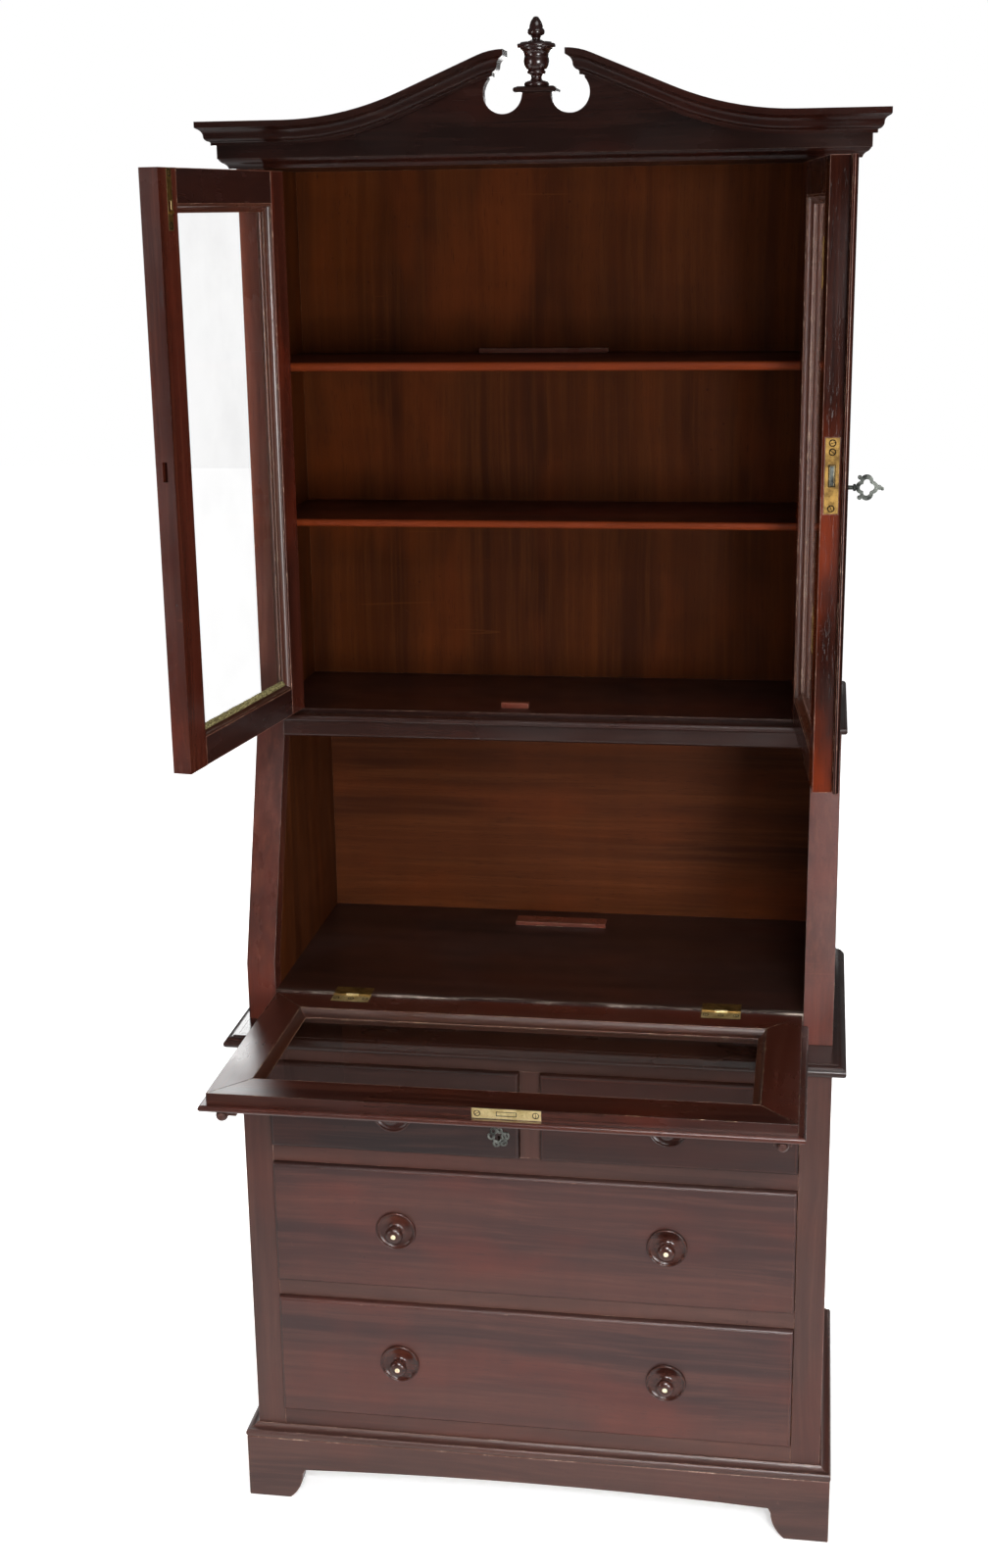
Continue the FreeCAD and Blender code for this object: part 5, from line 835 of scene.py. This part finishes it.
# The dark lines round screw heads and bolts are dirt and painted shade in the gaps.
dirt_and_painted_gap_shade = speckled("dirt and painted shade in the gaps", (16, 11, 7), (42, 31, 17), (700.0, 3.0, 0.6),
                    more={"Specular IOR Level": 0.2})
screw_draw = random.Random(11)


def screw_spots(points, normal):
    """Each point with a turn that lifts the screw's face to a normal, and its slot at random."""
    raised = Vector(normal).to_track_quat("Z", "Y")
    spun = [Matrix.Rotation(screw_draw.uniform(0, math.pi), 4, "Z").to_quaternion() for point in points]
    return [(point, (raised @ turn).to_euler()) for point, turn in zip(points, spun)]


def screw_row(name, points, normal, finish, body, node):
    """Screws set in brass at the points, each with a dark line round its head: dirt and painted shade in
    the gap.
    """
    spots = screw_spots(points, normal)
    set_pieces(name, screw_form, finish, spots, body, node, replaced=False)
    set_pieces(name + "_gaps", gap_form, dirt_and_painted_gap_shade, spots, body, node, replaced=False)


def bolt_gap(name, middle, across, up, half_size, body):
    """The dark line round a lock bolt in its plate, dirt and painted shade in the gap: a thin frame, just
    proud of the plate.
    """
    across, up = Vector(across), Vector(up)
    out = across.cross(up)
    form = bmesh.new()
    rings = []
    for level in (-GAP_RISE, GAP_RISE):
        for grow in (GAP_CLEAR, GAP_WIDTH):
            rings.append([form.verts.new(Vector(middle) + out * level + across * x * (half_size[0] + grow)
                                         + up * z * (half_size[1] + grow))
                          for x, z in ((-1, -1), (1, -1), (1, 1), (-1, 1))])
    for one, other in ((0, 1), (1, 3), (3, 2), (2, 0)):
        join_rings(form, rings[one], rings[other])
    mesh = mesh_from(form, name)
    mesh.materials.append(dirt_and_painted_gap_shade)
    piece = new_object(name, mesh)
    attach(piece, body)


# With the fall open, its butts' screws look up from their leaves, and its lock's look forward.
BUTT_MIDDLE = 0.252
BUTT_SCREW_STEP = 0.02
BUTT_SCREW_BACK = 0.0125
HINGE_Y = -0.0152047
LEAF_TOP = 0.757975
LOCK_X = 0.013
LOCK_SCREW_REACH = 0.0355
plate_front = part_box("fall_brass")[0].y
bolt_low, bolt_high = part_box("fall_lock_bolt")
leaf_points = [(x + step, HINGE_Y - BUTT_SCREW_BACK, LEAF_TOP) for x in (-BUTT_MIDDLE, BUTT_MIDDLE)
               for step in (-BUTT_SCREW_STEP, 0.0, BUTT_SCREW_STEP)]
screw_row("fall_butt_screws", leaf_points, (0, 0, 1), bright_brass, "fall", "fall_brass")
lock_level = (bolt_low.z + bolt_high.z) / 2
lock_points = [(LOCK_X + step, plate_front, lock_level) for step in (-LOCK_SCREW_REACH, LOCK_SCREW_REACH)]
screw_row("fall_lock_screws", lock_points, (0, -1, 0), bright_brass, "fall", "fall_brass")
bolt_gap("fall_lock_gap", ((bolt_low.x + bolt_high.x) / 2, plate_front, lock_level), (1, 0, 0), (0, 0, 1),
         ((bolt_high.x - bolt_low.x) / 2, (bolt_high.z - bolt_low.z) / 2), "fall")


# Bookcase: sides, stiles, bottom and top of mahogany, a boarded back, and two round-nosed shelves
# on bearers. It stands on the bureau inside the moulding, with loose strips that stop books and doors.

SHELF_FRONT_Y = 0.1367
stile_wood = wood("bookcase stile mahogany", (74, 34, 24), (116, 60, 44), (142, 86, 66), (132, 56, 36),
                  cloud=0.5, contrast=0.45, rough=(0.22, 0.42), coat=0.35)
# The shelves' round noses carry an orange band along the front edge: a painted highlight.
shelf_wood = wood("shelf mahogany", (38, 15, 9), (62, 26, 16), (84, 42, 28), (78, 28, 15), cloud=0.5,
                  contrast=0.4, rough=(0.28, 0.5), coat=0.0, shine=0.16,
                  edge=(SHELF_FRONT_Y, 0.009, (120, 49, 20), 0.1, 0.45))
floor_wood = wood("bookcase floor mahogany", (30, 13, 9), (50, 23, 16), (68, 38, 28), (62, 24, 14),
                  cloud=0.5, contrast=0.4, rough=(0.28, 0.5), coat=0.2, shine=0.3)
back_wood = wood("bookcase back", (52, 22, 6), (80, 37, 11), (100, 53, 21), (98, 43, 12), cloud=0.55,
                 contrast=0.35, rough=(0.42, 0.62), coat=0.0, shine=0.07)
red_arris = wood("red arris", (84, 44, 33), (122, 76, 60), (158, 114, 92), (128, 62, 44),
                 worn=(186, 150, 126), wear=0.4)
dress("bookcase_stiles", stile_wood, red_arris)
dress("bookcase_boards", floor_wood, top_arris, run=0)
dress("bookcase_case", back_wood, inner_arris, run=lambda size: 2 if is_tall(size) else "longest")
dress("shelves", shelf_wood, red_arris, MOULDED_EASE, run=0)
dress("loose_strips", stile_wood, red_arris)
dress("case_brass", aged_brass, aged_brass, LEAF_EASE)


# Doors: mortised frames with moulded beads both sides of the pane, each on two brass butts.
# The left one has a flush bolt and old putty, and the right one a cover bead, a lock and its key.

door_wood = wood("door stile mahogany", (48, 19, 13), (82, 35, 24), (112, 57, 41), (108, 40, 23),
                 cloud=0.6, contrast=0.45, rough=(0.16, 0.34), coat=0.05, shine=0.18)
rail_wood = wood("door rail mahogany", (32, 15, 13), (50, 26, 22), (68, 40, 34), (60, 27, 20),
                 cloud=0.4, contrast=0.4, rough=(0.16, 0.34), coat=0.1, shine=0.3)
door_bead = wood("door bead mahogany", (52, 26, 18), (86, 46, 33), (114, 72, 54), (102, 46, 30),
                 cloud=0.4, contrast=0.45, rough=(0.2, 0.4), coat=0.4)
# The right door's stiles and cover bead take a darker copy of the door mahogany: painted shade.
right_stile_wood_painted_shade = wood("right door stile mahogany, painted shade", (24, 9, 6), (50, 18, 10), (80, 34, 20),
                       (140, 52, 20), cloud=0.8, contrast=0.45, rough=(0.12, 0.26), coat=0.0,
                       shine=0.12)
HANDLED_EASE = 0.0009
for door, stiles in (("left_door", door_wood), ("right_door", right_stile_wood_painted_shade)):
    dress(door + "_frame", stiles, red_arris, HANDLED_EASE,
          apart=(lambda size: size.x > size.z, rail_wood))
    dress(door + "_beads", door_bead, bead_arris_wear_and_painted_highlight, MOULDED_EASE, "framed")
    dress(door + "_brass", aged_brass, brass_edge_wear_and_painted_highlight)
dress("left_door_bolt", aged_brass, aged_brass, SMALL_EASE)
dress("right_door_lock_bolt", key_steel, brass_edge_wear_and_painted_highlight, ease=0.0005)
dress("right_door_astragal", right_stile_wood_painted_shade, red_arris, MOULDED_EASE)

# Old putty has crept over the bead at the foot of the left pane, on its inner side, in a rough pale
# line. Its section's (Y, Z) corners and its ends in X are in millimetres, with the door shut.
PUTTY_SECTION = ((118.95, 1183.4), (120.4, 1182.5), (122.3, 1180.3), (123.6, 1177.0), (122.8, 1176.4),
                 (120.9, 1180.7), (118.95, 1180.7))
PUTTY_LAST_ON_TOP = 3
PUTTY_ENDS = (-308.0, -56.6)
PUTTY_STEPS = 96
PUTTY_SWELL = (-0.45, 0.55)
old_putty = speckled("old putty", (78, 66, 36), (178, 168, 116), (420.0, 4.0, 0.65), blend=(0.4, 0.62),
                     bump=0.0003, more={"Specular IOR Level": 0.3})
putty_draw = random.Random(5)
opened = shut_turn("left_door").inverted()
form = bmesh.new()
rings = []
for step in range(PUTTY_STEPS + 1):
    along = PUTTY_ENDS[0] + (PUTTY_ENDS[1] - PUTTY_ENDS[0]) * step / PUTTY_STEPS
    ring = []
    for number, (inward, up) in enumerate(PUTTY_SECTION):
        swell = putty_draw.uniform(*PUTTY_SWELL) if number <= PUTTY_LAST_ON_TOP else 0.0
        corner = Vector((along, inward + (swell if number else 0.0), up + swell)) * MM
        ring.append(form.verts.new(opened @ corner))
    rings.append(ring)
for one, other in zip(rings, rings[1:]):
    join_rings(form, one, other)
for ring in (rings[0][::-1], rings[-1]):
    form.faces.new(ring)
putty_mesh = mesh_from(form, "left_door_putty", smooth=True)
putty_mesh.materials.append(old_putty)
putty = new_object("left_door_putty", putty_mesh)
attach(putty, "left_door")

# The lock's plate and the bolt's plate as they stand with the doors open: a point of the face, the
# way out of it, and the heights of its screws, for the lock from that point.
LOCK_FACE = Vector((0.375038, -0.257039, 1.5019))
LOCK_OUT = Vector((0.085417, -0.996345, 0.0))
LOCK_ACROSS = Vector((0.996345, 0.085417, 0.0))
LOCK_BOLT_HALF = (0.003, 0.0115)
LOCK_SCREW_RISES = (-0.0365, 0.0265, 0.0365)
BOLT_PLATE_FACE = Vector((-0.38170, -0.22891, 0.0))
BOLT_PLATE_OUT = (0.989, -0.148, 0.0)
BOLT_SCREW_LEVELS = (1.7812, 1.8396)
screw_row("right_door_lock_screws", [LOCK_FACE + Vector((0, 0, rise)) for rise in LOCK_SCREW_RISES],
          LOCK_OUT, aged_brass, "right_door", "right_door_brass")
bolt_gap("right_door_lock_gap", LOCK_FACE, LOCK_ACROSS, (0, 0, 1), LOCK_BOLT_HALF, "right_door")
screw_row("left_door_bolt_screws",
          [BOLT_PLATE_FACE + Vector((0, 0, level)) for level in BOLT_SCREW_LEVELS],
          BOLT_PLATE_OUT, aged_brass, "left_door", "left_door_brass")
dress("right_door_key", key_steel, pewter, HANDLED_EASE)


# Pediment: a sawn board with swan-neck cornice mouldings mitred and returned on its ends, a bed
# moulding below, and a turned urn finial on a moulded cap between the necks.

pediment_wood = wood("pediment mahogany", (26, 12, 9), (41, 20, 15), (57, 31, 24), (57, 22, 14),
                     cloud=0.5, contrast=0.4, rough=(0.16, 0.34), coat=0.1, shine=0.25)
pediment_arris = wood("pediment arris", (38, 22, 18), (60, 38, 32), (88, 62, 52), (66, 34, 26),
                      worn=(112, 86, 74), wear=0.2, rough=(0.2, 0.38))
finial_wood = wood("finial mahogany", (24, 12, 10), (42, 22, 19), (64, 38, 33), (58, 24, 18), cloud=0.5,
                   contrast=0.35, rough=(0.08, 0.22), coat=0.8, bump=0.00004)
dress("bed_moulding", pediment_wood, pediment_arris, MOULDED_EASE, "mitred")
dress("pediment_case", hidden_wood, hidden_wood)
dress("pediment_board", pediment_wood, pediment_arris, run=0)
LONGEST_RETURN = 0.2
dress("cornice", pediment_wood, pediment_arris, MOULDED_EASE,
      run=lambda size: 0 if size.x > LONGEST_RETURN else 1)
dress("pediment_cap", pediment_wood, pediment_arris, MOULDED_EASE, "mitred")
dress("finial", finial_wood, finial_wood, SMALL_EASE, run=2)
